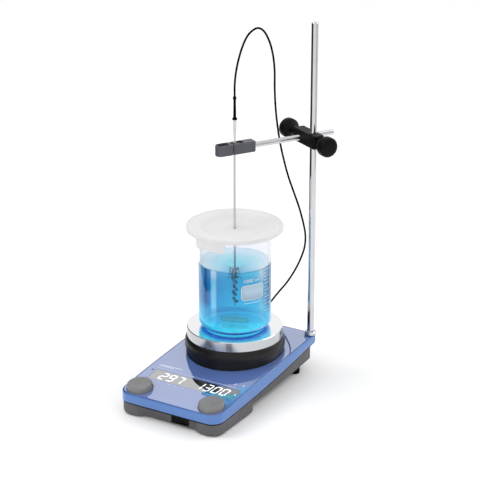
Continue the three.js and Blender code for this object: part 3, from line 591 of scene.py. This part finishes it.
def pale_floor():
    shader = Shader("pale_floor", Roughness=0.85)
    shader.tint(3, (0.93, 0.93, 0.93), (0.95, 0.95, 0.95))
    return shader.bump(300, 0.05, 0.05).material


GLASS = clear_glass()
LIQUID = blue_liquid()
LID_WHITE = frosted_lid()
WINDOW = window_black()
DIGIT_WHITE = glowing("digit_white", (235, 240, 245), 0.75)
PRINT_WHITE = printed("print_white", (222, 228, 236))
LABEL_WHITE = printed("label_white", (172, 197, 217))
MARK_GREY = printed("mark_grey", (30, 34, 44))
BUBBLES = bubble_blue()

NODE_MATERIALS = {
    HOUSING_GREY: ["lower_housing"],
    KNOB_GREY: ["left_knob", "right_knob"],
    RUBBER: ["rear_foot_left", "rear_foot_right", "front_pad_left", "front_pad_right", "probe_grip"],
    RING_BLACK: ["plate_ring"],
    PLATE_METAL: ["hotplate"],
    WINDOW: ["display_window"],
    CHROME: ["support_rod", "rod_collar", "holding_rod", "rotor_shaft"],
    STEEL: [
        "heater_disc",
        "motor",
        "motor_bracket",
        "magnet_carrier",
        "probe_socket",
        "rocker_pin",
        "left_knob_shaft",
        "right_knob_shaft",
        "jaw_pin_left",
        "jaw_pin_right",
        "front_clamp_screw",
        "rear_clamp_screw",
        "housing_screw_1",
        "housing_screw_2",
        "housing_screw_3",
        "housing_screw_4",
    ],
    TUBE_METAL: ["probe_tube"],
    BRASS: ["front_clamp_pad", "rear_clamp_pad", "plate_sensor"],
    MAGNET: ["drive_magnet_north", "drive_magnet_south"],
    BLACK_PLASTIC: [
        "boss_block",
        "front_clamp_knob",
        "rear_clamp_knob",
        "left_encoder",
        "right_encoder",
        "transformer",
        "switch_frame",
        "switch_rocker",
        "power_inlet",
        "probe_plug",
    ],
    CLAMP_GREY: ["clamp_body", "clamp_jaw"],
    SLEEVE_GREY: ["probe_sleeve"],
    WHITE_PLASTIC: ["stir_bar"],
    INSULATION: ["insulation_disc"],
    BOARD_GREEN: ["display_board", "main_board"],
}


def paint(obj, material):
    obj.data.materials.clear()
    obj.data.materials.append(material)


def dress_cad_nodes():
    """Paints each CAD node and lets its facets shade as one surface up to its real corners."""
    for material, names in NODE_MATERIALS.items():
        for name in names:
            node = NODES[name]
            paint(node, material)
            node.data.shade_smooth()
            joined = node.modifiers.new("joined", "WELD")
            joined.merge_threshold = WELD_DISTANCE
            corners = node.modifiers.new("corners", "EDGE_SPLIT")
            corners.split_angle = math.radians(CORNER_ANGLE)
            corners.use_edge_sharp = False
            weighted = node.modifiers.new("normals", "WEIGHTED_NORMAL")
            weighted.keep_sharp = True


dress_cad_nodes()


def made_piece(obj, material, body, replaces=()):
    """Paints a made piece and sets it on its body."""
    paint(obj, material)
    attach(obj, body)
    if replaces:
        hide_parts(*replaces)
    return obj


# ------------------------------------------------------------------ the probe's lead

CABLE_RADIUS = 1.2
CABLE_COAT = 0.2
CABLE_SIDES = 14
CABLE_ROUTE = [
    (0, 41, 416.3),
    (0, 41, 430),
    (0.5, 42, 443),
    (1.3, 45, 457),
    (1.8, 50, 469),
    (2.9, 55, 480),
    (4.5, 62, 491),
    (7, 69, 498.5),
    (11.5, 81, 503),
    (15.5, 90, 498),
    (19.5, 99, 482),
    (21.8, 105, 462),
    (21.6, 110, 439),
    (19.6, 114, 415),
    (19.1, 117, 390),
    (20.6, 120, 361),
    (23.6, 124, 331),
    (28, 127, 307),
    (33, 131, 283),
    (39, 136, 260),
    (44.5, 142, 236.5),
    (48, 148, 213),
    (48.6, 154, 192),
    (44.5, 160, 172),
    (36, 166, 152),
    (23, 172, 128),
    (6, 177, 102),
    (-9, 180, 83),
    (-23, 182, 64),
    (-32, 182.5, 49),
    (-37, 180, 37),
    (-38, 174, 30.5),
    (-38, 166.3, 29),
]


def smooth_path(points, per_span):
    """A centripetal Catmull-Rom curve through the points."""
    points = [Vector(p) for p in points]
    ends = [2 * points[0] - points[1], *points, 2 * points[-1] - points[-2]]
    path = []
    for p0, p1, p2, p3 in zip(ends, ends[1:], ends[2:], ends[3:]):
        t0 = 0
        t1 = t0 + (p1 - p0).length ** 0.5
        t2 = t1 + (p2 - p1).length ** 0.5
        t3 = t2 + (p3 - p2).length ** 0.5
        for i in range(per_span):
            t = t1 + (t2 - t1) * i / per_span
            a1 = p0 * ((t1 - t) / (t1 - t0)) + p1 * ((t - t0) / (t1 - t0))
            a2 = p1 * ((t2 - t) / (t2 - t1)) + p2 * ((t - t1) / (t2 - t1))
            a3 = p2 * ((t3 - t) / (t3 - t2)) + p3 * ((t - t2) / (t3 - t2))
            b1 = a1 * ((t2 - t) / (t2 - t0)) + a2 * ((t - t0) / (t2 - t0))
            b2 = a2 * ((t3 - t) / (t3 - t1)) + a3 * ((t - t1) / (t3 - t1))
            path.append(b1 * ((t2 - t) / (t2 - t1)) + b2 * ((t - t1) / (t2 - t1)))
    path.append(points[-1])
    return path


def tube(name, path, radius, sides):
    """A closed round tube along a path, all in millimetres of the base's frame."""
    vertices = []
    across = Vector((1, 0, 0))
    for i, point in enumerate(path):
        ahead = path[min(i + 1, len(path) - 1)] - path[max(i - 1, 0)]
        ahead.normalize()
        across = (across - ahead * across.dot(ahead)).normalized()
        up = ahead.cross(across)
        for k in range(sides):
            angle = 2 * math.pi * k / sides
            spot = point + radius * (across * math.cos(angle) + up * math.sin(angle))
            vertices.append(at(*spot))
    faces = ring_faces(len(path), sides)
    faces.append(list(range(sides))[::-1])
    last = (len(path) - 1) * sides
    faces.append([last + k for k in range(sides)])
    return new_object(name, vertices, faces)


def make_cable():
    path = smooth_path(CABLE_ROUTE, 8)
    cable = tube("probe_lead", path, CABLE_RADIUS + CABLE_COAT, CABLE_SIDES)
    paint(cable, CABLE_BLACK)
    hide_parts("probe_cable")
    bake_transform(cable)


make_cable()

# ------------------------------------------------------------------ the base's blue cover


def plan_outline(inset):
    """The base's plan, drawn in by inset, with the same number of points for every inset."""
    x, y = BASE_WIDTH / 2 - inset, BASE_DEPTH / 2 - inset
    front = max(FRONT_CORNER - inset, 0.5)
    rear = max(REAR_CORNER - inset, 0.5)

    def run(a, b, count):
        (ax, ay), (bx, by) = a, b
        return [(ax + (bx - ax) * i / count, ay + (by - ay) * i / count) for i in range(count)]

    def corner(cx, cy, radius, start, count):
        return arc(cx, cy, radius, start, start + 90, count)[:-1]

    return [
        *run((-x + front, -y), (x - front, -y), 10),
        *corner(x - front, -y + front, front, -90, 14),
        *run((x, -y + front), (x, y - rear), 40),
        *corner(x - rear, y - rear, rear, 0, 8),
        *run((x - rear, y), (-x + rear, y), 10),
        *corner(-x + rear, y - rear, rear, 90, 8),
        *run((-x, y - rear), (-x, -y + front), 40),
        *corner(-x + front, -y + front, front, 180, 14),
    ]


def lofted_cover(name, rings):
    """A closed body through rings of (inset, line, offset), with a cap on the first and the last."""
    vertices = []
    count = len(plan_outline(0))
    for inset, curve, offset in rings:
        vertices += [at(x, y, curve(y) + offset) for x, y in plan_outline(inset)]
    faces = ring_faces(len(rings), count)
    # The caps are strips from side to side, so that they follow the crowned top.
    right = list(range(5, 5 + count // 2))
    left = [(4 - i) % count for i in range(count // 2)]
    for ring, flip in ((0, True), (len(rings) - 1, False)):
        start = ring * count
        for i in range(len(right) - 1):
            strip = [start + left[i], start + right[i], start + right[i + 1], start + left[i + 1]]
            face = without_repeats(strip)
            faces.append(face[::-1] if flip else face)
    made = new_object(name, vertices, faces)
    tidy_normals(made)
    return made


def block(low, high, matrix):
    """A closed box cutter, in millimetres of the frame that the matrix gives in metres."""
    corners = [
        (x, y, z) for z in (low[2], high[2]) for y in (low[1], high[1]) for x in (low[0], high[0])
    ]
    faces = [(0, 2, 3, 1), (4, 5, 7, 6), (0, 1, 5, 4), (2, 6, 7, 3), (0, 4, 6, 2), (1, 3, 7, 5)]
    return new_object("cutter", [matrix @ (Vector(c) * MM) for c in corners], faces)


def drum(radius, low, high, matrix, segments):
    """A closed round cutter on the z axis of the frame that the matrix gives."""
    profile = [(0, low), (radius, low), (radius, high), (0, high)]
    vertices, faces = lathe_data(profile, segments)
    made = new_object("cutter", [matrix @ (v * MM) for v in vertices], faces)
    weld(made)
    tidy_normals(made)
    return made


DISPLAY = on_top(DISPLAY_X, DISPLAY_Y)
LEFT_KNOB = on_top(-KNOB_X, KNOB_Y)
RIGHT_KNOB = on_top(KNOB_X, KNOB_Y)
KNOB_OPENING, SHAFT_HOLE = 18.7, 4
RING_HOLE, PLATE_OPENING = 69.1, 56
ROD_HOLE = 3.3
WINDOW_X, WINDOW_Y = 68, 12.5

# Cutters stand square to the top and reach from CUT_LOW under it to CUT_HIGH over it, but the
# upright ones reach between two heights above the ground.
CUT_LOW, CUT_HIGH = -12, 8
ROD_CUT_LOW, ROD_CUT_HIGH = 40, 70
PLATE_CUT_LOW, PLATE_CUT_HIGH = 20, 80


def top_cutters():
    """The openings that the cover and the pane share: two shafts, the window and the rod."""
    rod_axis = Matrix.Translation(at(*ROD_PLACE, 0))
    return [
        drum(SHAFT_HOLE, CUT_LOW, CUT_HIGH, LEFT_KNOB, 24),
        drum(SHAFT_HOLE, CUT_LOW, CUT_HIGH, RIGHT_KNOB, 24),
        block((-WINDOW_X, -WINDOW_Y, CUT_LOW), (WINDOW_X, WINDOW_Y, CUT_HIGH), DISPLAY),
        drum(ROD_HOLE, ROD_CUT_LOW, ROD_CUT_HIGH, rod_axis, 24),
    ]


def plate_cutter(radius, segments):
    return drum(radius, PLATE_CUT_LOW, PLATE_CUT_HIGH, Matrix.Translation(at(0, PLATE_Y, 0)), segments)


def make_cover():
    wall, deck = 2.5, -4.4
    shell = lofted_cover(
        "cover_shell",
        [
            (wall, top_height, deck),
            (wall, seam_height, 0.3),
            (wall - 0.3, seam_height, 0),
            (0.5, seam_height, 0),
            (0.15, seam_height, 0.15),
            (0, seam_height, 0.5),
            (0, top_height, -1.5),
            (0.12, top_height, -0.85),
            (0.45, top_height, -0.3),
            (0.8, top_height, -0.05),
            (1.1, top_height, 0),
            (1.2, top_height, -0.1),
            (1.2, top_height, -1.9),
        ],
    )
    cut_away(shell, [*top_cutters(), plate_cutter(PLATE_OPENING, 64)])
    shade(shell.data, CORNER_ANGLE)
    made_piece(shell, BLUE_COVER, "base", ["upper_cover"])

    pane = lofted_cover(
        "glossy_pane",
        [
            (2, top_height, -1.6),
            (2, top_height, -0.25),
            (2.1, top_height, -0.06),
            (2.35, top_height, 0),
        ],
    )
    shared, ring_hole = top_cutters(), plate_cutter(RING_HOLE, 96)
    knob_holes = [drum(KNOB_OPENING, CUT_LOW, CUT_HIGH, spot, 96) for spot in (LEFT_KNOB, RIGHT_KNOB)]
    cut_away(pane, [*shared, ring_hole, *knob_holes])
    shade(pane.data, CORNER_ANGLE)
    made_piece(pane, BLUE_PANE, "base", ["top_pane"])


def make_dark_strip(name, curve, outer, inner, low, high):
    """A black strip all round the base, between two insets and two offsets from one of its lines."""
    strip = lofted_cover(name, [(outer, curve, low), (outer, curve, high)])
    cut_away(strip, [lofted_cover("cutter", [(inner, curve, low - 1), (inner, curve, high + 1)])])
    shade(strip.data, CORNER_ANGLE)
    made_piece(strip, BLACK_PLASTIC, "base")


make_cover()
# At the seam the black strip fills the gap under the blue cover: painted shadow.
make_dark_strip("seam_painted_shadow", seam_height, outer=0.7, inner=2.4, low=-1.7, high=-0.05)
make_dark_strip("pane_seal", top_height, outer=1.25, inner=1.95, low=-1.5, high=-0.3)

# ------------------------------------------------------------------ display and printed marks

DIGIT_SEGMENTS = {
    "0": "abcdef",
    "1": "bc",
    "2": "abged",
    "3": "abgcd",
    "7": "abc",
    "9": "abcdfg",
}
DIGIT_HEIGHT = 16
DIGIT_WIDTH = 8.2
DIGIT_PITCH = 13.2
SLANT = 0.14
STROKE = 1.8
DIGIT_SUNK = -0.09
PRINT_LOW, PRINT_HIGH = -0.05, 0.12
DOT_SIDES = 20


def flat_shape(outline, low, high, matrix):
    """A closed flat piece from a convex outline in millimetres, between two heights."""
    count = len(outline)
    vertices = [matrix @ (Vector((x, y, z)) * MM) for z in (low, high) for x, y in outline]
    faces = [list(range(count))[::-1], [count + i for i in range(count)]]
    for i in range(count):
        j = (i + 1) % count
        faces.append([i, j, count + j, count + i])
    return new_object("shape", vertices, faces)


def segment_outline(name, x, y):
    """One six-cornered stroke of a digit whose lower left corner is at x, y."""
    w, h, s = DIGIT_WIDTH, DIGIT_HEIGHT / 2, STROKE / 2
    gap = 0.25
    ends = {
        "a": ((0, 2 * h), (w, 2 * h)),
        "b": ((w, h), (w, 2 * h)),
        "c": ((w, 0), (w, h)),
        "d": ((0, 0), (w, 0)),
        "e": ((0, 0), (0, h)),
        "f": ((0, h), (0, 2 * h)),
        "g": ((0, h), (w, h)),
    }
    (x0, y0), (x1, y1) = ends[name]
    if y0 == y1:
        points = [
            (x0 + gap, y0),
            (x0 + gap + s, y0 - s),
            (x1 - gap - s, y0 - s),
            (x1 - gap, y0),
            (x1 - gap - s, y0 + s),
            (x0 + gap + s, y0 + s),
        ]
    else:
        points = [
            (x0, y0 + gap),
            (x0 + s, y0 + gap + s),
            (x0 + s, y1 - gap - s),
            (x0, y1 - gap),
            (x0 - s, y1 - gap - s),
            (x0 - s, y0 + gap + s),
        ]
    return [(x + px + SLANT * py, y + py) for px, py in points]


def make_digits():
    strokes = []
    for text, start in (("297", -50), ("1300", 9)):
        for i, digit in enumerate(text):
            x = start + DIGIT_PITCH * i - DISPLAY_X
            for name in DIGIT_SEGMENTS[digit]:
                outline = segment_outline(name, x, -DIGIT_HEIGHT / 2)
                strokes.append(flat_shape(outline, DIGIT_SUNK, 0.0, DISPLAY))
    made_piece(merge("display_digits", strokes), DIGIT_WHITE, "base")


def bar(x0, y0, x1, y1, matrix, high=PRINT_HIGH):
    return flat_shape([(x0, y0), (x1, y0), (x1, y1), (x0, y1)], PRINT_LOW, high, matrix)


def dot(x, y, radius, matrix):
    outline = arc(x, y, radius, 0, 360 - 360 / DOT_SIDES, DOT_SIDES - 1)
    return flat_shape(outline, PRINT_LOW, PRINT_HIGH, matrix)


def make_printed_marks():
    """Plain marks where the object has its lettering: rules, key signs, dots and an arrow a knob."""
    marks = [bar(65, -2, 66.8, 2.5, DISPLAY, 0.02), bar(-66, -0.2, 62, 0.2, on_top(0, -57))]
    for x0, x1, y in ((-67, -30, 2.2), (-67, -44, -0.6)):
        marks.append(bar(x0, y - 0.8, x1, y + 0.8, on_top(0, -50)))
    for x, y in ((56, -50), (68, -49)):
        spot = on_top(x, y)
        marks += [bar(-2, -0.3, 2, 0.3, spot), bar(-1.6, 1, 1.6, 1.5, spot), dot(0, 3, 0.7, spot)]
    for x in (-42, -26, -15, -3):
        marks.append(dot(0, 0, 0.8, on_top(x, -90)))
    for side in (-1, 1):
        spot = on_top(side * KNOB_X, -91)
        marks.append(flat_shape([(-1.6, -1), (1.6, -1), (0, 1.4)], PRINT_LOW, PRINT_HIGH, spot))
    made_piece(merge("printed_marks", marks), PRINT_WHITE, "base")
    lamp = dot(0, 0, 1.5, on_top(-69, -64))
    made_piece(merge("indicator_lens", [lamp]), MARK_GREY, "base")


make_digits()
make_printed_marks()

# ------------------------------------------------------------------ beaker

INNER_CORNER = 11
GLASS_FLOOR = 2.5


def with_spout(vertex):
    """A point of the beaker, pushed outwards where it lies in the spout."""
    x, y, z = vertex
    radius = math.hypot(x, y)
    start = BEAKER_HEIGHT - SPOUT_DEPTH
    away = abs(math.atan2(x, -y)) / SPOUT_HALF_ANGLE
    if z <= start or radius < BEAKER_RADIUS - 6 or away >= 1:
        return vertex
    rise = ((z - start) / (BEAKER_HEIGHT - start)) ** 2
    push = SPOUT_REACH * rise * math.cos(away * math.pi / 2) ** 2
    return Vector((x * (radius + push) / radius, y * (radius + push) / radius, z))


def make_beaker():
    r, h, corner = BEAKER_RADIUS, BEAKER_HEIGHT, 12
    inner = r - GLASS_WALL
    rise = [h - SPOUT_DEPTH + i * 2.4 for i in range(9)]
    profile = [
        (0, 0.6),
        (r - corner - 4, 0.5),
        (r - corner - 2, 0.05),
        *arc(r - corner, corner, corner, -90, 0, 10),
        (r, 40),
        (r, 80),
        *[(r, z) for z in rise],
        (r + 0.5, h - 3.6),
        (r + 1.1, h - 2.4),
        (r + 1.25, h - 1.4),
        (r + 0.9, h - 0.4),
        (r + 0.1, h),
        (r - 0.9, h - 0.3),
        (inner - 0.1, h - 1.4),
        (inner, h - 3),
        *[(inner, z) for z in reversed(rise)],
        (inner, 80),
        (inner, 40),
        *arc(inner - INNER_CORNER, GLASS_FLOOR + INNER_CORNER, INNER_CORNER, 0, -90, 8),
        (0, GLASS_FLOOR),
    ]
    glass = lathe("beaker_glass", profile, 128, warp=with_spout)
    made_piece(glass, GLASS, "vessel", ["beaker"])


make_beaker()

# ------------------------------------------------------------------ liquid and bubbles

SURFACE_Z = 180.3
LEVEL = SURFACE_Z - VESSEL_Z
LIQUID_FLOOR = 2.4


def make_liquid():
    """The liquid, with a vortex on top. It reaches into the glass all round, so that no gap shows."""
    inner = LIQUID_RADIUS
    profile = [
        (0, LIQUID_FLOOR),
        *arc(inner - INNER_CORNER, LIQUID_FLOOR + INNER_CORNER, INNER_CORNER, -90, 0, 8),
        (inner, 40),
        (inner, LEVEL + 1.2),
        (inner - 0.8, LEVEL + 0.4),
        (inner - 2.5, LEVEL),
        (40, LEVEL - 0.2),
        (30, LEVEL - 0.7),
        (20, LEVEL - 2),
        (14, LEVEL - 3.8),
        (10, LEVEL - 6.2),
        (6.5, LEVEL - 9.2),
        (3.5, LEVEL - 11.6),
        (1.5, LEVEL - 12.8),
        (0, LEVEL - 13.1),
    ]
    liquid = lathe("blue_solution", profile, 96)
    made_piece(liquid, LIQUID, "vessel")


def lump(centre, radius, rng):
    """One slightly uneven bubble."""
    work = bmesh.new()
    bmesh.ops.create_icosphere(work, subdivisions=2, radius=radius)
    squash = 1 + rng.uniform(-0.15, 0.15)
    x, y, z = centre
    vertices = [at(v.co.x + x, v.co.y + y, v.co.z * squash + z) for v in work.verts]
    faces = [[v.index for v in f.verts] for f in work.faces]
    work.free()
    return new_object("bubble", vertices, faces, 180)


BUBBLE_COUNT = 90
CLUSTER_SHARE = 0.4
CLUSTER_TOP, CLUSTER_DEPTH, TRAIL_DEPTH = 165.5, 12, 35
SWIRL = 40


def bubble_height(share):
    """Heights fall through the cluster under the vortex, then down the trail below it."""
    if share < CLUSTER_SHARE:
        return CLUSTER_TOP - CLUSTER_DEPTH * share / CLUSTER_SHARE
    down = (share - CLUSTER_SHARE) / (1 - CLUSTER_SHARE)
    return CLUSTER_TOP - CLUSTER_DEPTH - TRAIL_DEPTH * down


def make_bubbles():
    rng = random.Random(7)
    bubbles = []
    for i in range(BUBBLE_COUNT):
        share = i / (BUBBLE_COUNT - 1)
        height = bubble_height(share)
        reach = rng.uniform(2, 9) if share < CLUSTER_SHARE else rng.uniform(1.2, 3.8)
        swirl = share * SWIRL
        centre = (
            reach * math.cos(swirl) + rng.uniform(-0.7, 0.7),
            PLATE_Y + reach * math.sin(swirl) + rng.uniform(-0.7, 0.7),
            height + rng.uniform(-1.5, 1.5),
        )
        bubbles.append(lump(centre, rng.uniform(0.7, 1.6), rng))
    made_piece(merge("vortex_bubbles", bubbles), BUBBLES, "vessel")


make_liquid()
make_bubbles()

# ------------------------------------------------------------------ printing on the glass

PRINT_LIFT = 0.06
PRINT_RADIUS = BEAKER_RADIUS + PRINT_LIFT
PRINT_DEPTH = 0.03 * MM
LABEL_LOW, LABEL_HIGH, LABEL_CORNER = 140.5, 161.5, 5
OUTLINE_MARGIN = 0.9
TICK_COUNT, FIRST_TICK, TICK_PITCH = 13, 117.5, 5.05
LONG_TICK, SHORT_TICK, TICK_WIDTH = 12, 5.5, 0.55


def on_glass(along, height, lift=0.0):
    """A point on the glass, from a length along its round in millimetres and a height."""
    angle, radius = along / PRINT_RADIUS, PRINT_RADIUS + lift
    return at(radius * math.cos(angle), PLATE_Y + radius * math.sin(angle), height)


def arc_length(degrees):
    return math.radians(degrees) * PRINT_RADIUS


def glass_patch(name, start, end, low, high, corner=0.0, columns=24, lift=0.0):
    """A patch of print with rounded corners that lies on the round glass."""
    vertices, faces = [], []
    for i in range(columns + 1):
        along = start + (end - start) * (1 - math.cos(math.pi * i / columns)) / 2
        inside = min(along - start, end - along)
        drop = corner_drop(corner, inside)
        vertices += [on_glass(along, low + drop, lift), on_glass(along, high - drop, lift)]
    for i in range(columns):
        faces.append([2 * i, 2 * i + 2, 2 * i + 3, 2 * i + 1])
    return new_object(name, vertices, faces, 180)


def glass_text(text, along, height, size):
    """Letters in Blender's own font, laid on the round glass."""
    curve = bpy.data.curves.new("text", "FONT")
    curve.body = text
    curve.size = size
    obj = bpy.data.objects.new("text", curve)
    bpy.context.scene.collection.objects.link(obj)
    graph = bpy.context.evaluated_depsgraph_get()
    mesh = bpy.data.meshes.new_from_object(obj.evaluated_get(graph))
    vertices = [on_glass(along + v.co.x, height + v.co.y) for v in mesh.vertices]
    faces = [list(p.vertices) for p in mesh.polygons]
    bpy.data.objects.remove(obj)
    bpy.data.meshes.remove(mesh)
    return new_object("glass_text", vertices, faces, 180)


def make_glass_print():
    start, end = arc_length(-48), arc_length(-10)
    label = glass_patch("label", start, end, LABEL_LOW, LABEL_HIGH, LABEL_CORNER, lift=PRINT_LIFT)
    thicken(label, PRINT_DEPTH)
    made_piece(merge("label_patch", [label]), LABEL_WHITE, "vessel")
    prints = [
        glass_patch(
            "outline",
            start - OUTLINE_MARGIN,
            end + OUTLINE_MARGIN,
            LABEL_LOW - OUTLINE_MARGIN,
            LABEL_HIGH + OUTLINE_MARGIN,
            LABEL_CORNER + OUTLINE_MARGIN,
        ),
        glass_patch("line", start + 3, end - 3, 135.6, 136.2, columns=16),
        glass_text("1000 ml", arc_length(-46), 166, 7.7),
    ]
    tick = arc_length(-6)
    for i in range(TICK_COUNT):
        height = FIRST_TICK + TICK_PITCH * i
        length = SHORT_TICK if i % 2 else LONG_TICK
        prints.append(glass_patch("tick", tick, tick + length, height, height + TICK_WIDTH, columns=4))
    for obj in prints:
        thicken(obj, PRINT_DEPTH)
    made_piece(merge("glass_print", prints), PRINT_WHITE, "vessel")


make_glass_print()

# ------------------------------------------------------------------ lid

LID_SEAT = BEAKER_HEIGHT + 0.3
LID_RADIUS = 67.2
LID_THICKNESS = 2.3
DISH_DROP = 5
PROBE_HOLE = 2.2
SKIRT_BEARING, SKIRT_HALF_ANGLE, SKIRT_CORNER = -90.3, 20.3, 3


def hanging_lip(name, middle, half, section, corner, columns=48):
    """A lip about the vessel's axis with round lower corners, from a section of [radius, height]."""
    vertices = []
    low = min(height for _, height in section)
    reach = math.radians(half) * section[0][0]
    for i in range(columns + 1):
        share = 2 * i / columns - 1
        angle = math.radians(middle + half * share)
        along = reach * (1 - abs(share))
        drop = corner_drop(corner, along)
        for radius, height in section:
            spot = (radius * math.cos(angle), PLATE_Y + radius * math.sin(angle))
            vertices.append(at(*spot, max(height, low + drop) + VESSEL_Z))
    count = len(section)
    faces = ring_faces(columns + 1, count)
    faces.append(list(range(count)))
    faces.append([count * columns + k for k in range(count)])
    made = new_object(name, vertices, faces)
    tidy_normals(made)
    return made


def make_lid():
    seat, top, radius = LID_SEAT, LID_SEAT + LID_THICKNESS, LID_RADIUS
    rim, drop = seat - 2.7, DISH_DROP
    profile = [
        (PROBE_HOLE, seat - drop),
        (36.5, seat - drop),
        (39, seat - 4.7),
        (45.2, seat - 0.7),
        (47, seat),
        (64.8, seat),
        (64.9, rim + 0.5),
        (65.3, rim + 0.05),
        (66.6, rim),
        (67.1, rim + 0.35),
        (radius, rim + 0.9),
        (radius, top + 0.5),
        (radius - 0.35, top + 0.95),
        (radius - 0.9, top + 1.0),
        (radius - 1.5, top + 0.7),
        (radius - 2.2, top + 0.1),
        (radius - 3, top),
        (58, top),
        (50, top),
        (48, top - 0.3),
        (44, top - 1.9),
        (40, top - 3.8),
        (37.5, top - 4.7),
        (35.5, top - drop),
        (7, top - drop),
        (6.2, top - drop + 0.6),
        (3.2, top - drop + 0.7),
        (PROBE_HOLE, top - drop + 0.4),
    ]
    disc = lathe("disc", profile, 128, closed=True)
    section = [
        (66.8, seat - 15.1),
        (66.4, seat - 15.5),
        (65.2, seat - 15.5),
        (64.8, seat - 15.1),
        (64.8, seat + 0.6),
        (66.8, seat + 0.6),
    ]
    skirt = hanging_lip("skirt", SKIRT_BEARING, SKIRT_HALF_ANGLE, section, SKIRT_CORNER)
    lid = merge("beaker_lid", [disc, skirt])
    shade(lid.data)
    made_piece(lid, LID_WHITE, "vessel_lid", ["lid"])


make_lid()

# ------------------------------------------------------------------ floor and light


FLOOR_HALF = 6


def make_stage():
    half = FLOOR_HALF
    vertices = [(-half, -half, 0), (half, -half, 0), (half, half, 0), (-half, half, 0)]
    floor = new_object("floor", vertices, [(0, 1, 2, 3)])
    paint(floor, pale_floor())


def add_area(name, place, aim, size, power):
    """A white rectangular lamp at a place in metres, turned towards its aim."""
    data = bpy.data.lights.new(name, "AREA")
    data.shape = "RECTANGLE"
    data.size, data.size_y = size
    data.energy = power
    light = bpy.data.objects.new(name, data)
    light.location = place
    light.rotation_mode = "QUATERNION"
    light.rotation_quaternion = (Vector(aim) - Vector(place)).to_track_quat("-Z", "Y")
    bpy.context.scene.collection.objects.link(light)


def add_card(name, bearing, distance, size, middle, shade_of_grey, shift=0.0):
    """An upright grey card that only reflections see, for the streaks on bright metal.

    Its bearing is counted in degrees to the left of the main view, about the support rod.
    """
    towards = math.radians(90 - VIEW_AZIMUTH + bearing)
    rod = at(*ROD_PLACE, 0)
    place = rod + distance * Vector((math.cos(towards), -math.sin(towards), 0))
    place.z = middle
    w, h = size[0] / 2, size[1] / 2
    turn = (rod + Vector((0, 0, middle)) - place).to_track_quat("Z", "Y").to_matrix()
    left, right = shift - w, shift + w
    outline = ((left, -h, 0), (right, -h, 0), (right, h, 0), (left, h, 0))
    corners = [place + turn @ Vector(c) for c in outline]
    card = new_object(name, corners, [(0, 1, 2, 3)])
    shader = Shader(name, Roughness=0.9)
    g = shade_of_grey
    paint(card, shader.tint(3, (g, g, g), (g * 1.1, g * 1.1, g * 1.1)).material)
    for ray in ("camera", "diffuse", "transmission", "volume_scatter", "shadow"):
        setattr(card, "visible_" + ray, False)


def make_light():
    world = bpy.data.worlds.new("studio")
    world.use_nodes = True
    background = world.node_tree.nodes["Background"]
    background.inputs["Color"].default_value = (1, 1, 1, 1)
    background.inputs["Strength"].default_value = 1.0
    bpy.context.scene.world = world
    middle = (0, 0, 0.2)
    add_area("key", (-1.3, -0.9, 2.0), middle, size=(1.4, 1.4), power=16)
    add_area("rim", (1.2, 1.2, 1.4), middle, size=(0.8, 1.6), power=7)
    add_card("card_left", 95, 0.5, (1.0, 1.0), middle=0.5, shade_of_grey=0.02)
    add_card("card_right", -70, 0.9, (0.9, 1.0), middle=0.5, shade_of_grey=0.55)
    add_card("card_behind", 180, 1.2, (0.8, 0.7), middle=1.38, shade_of_grey=0.04, shift=-0.82)


make_stage()
make_light()
bpy.context.scene.view_settings.view_transform = "Standard"
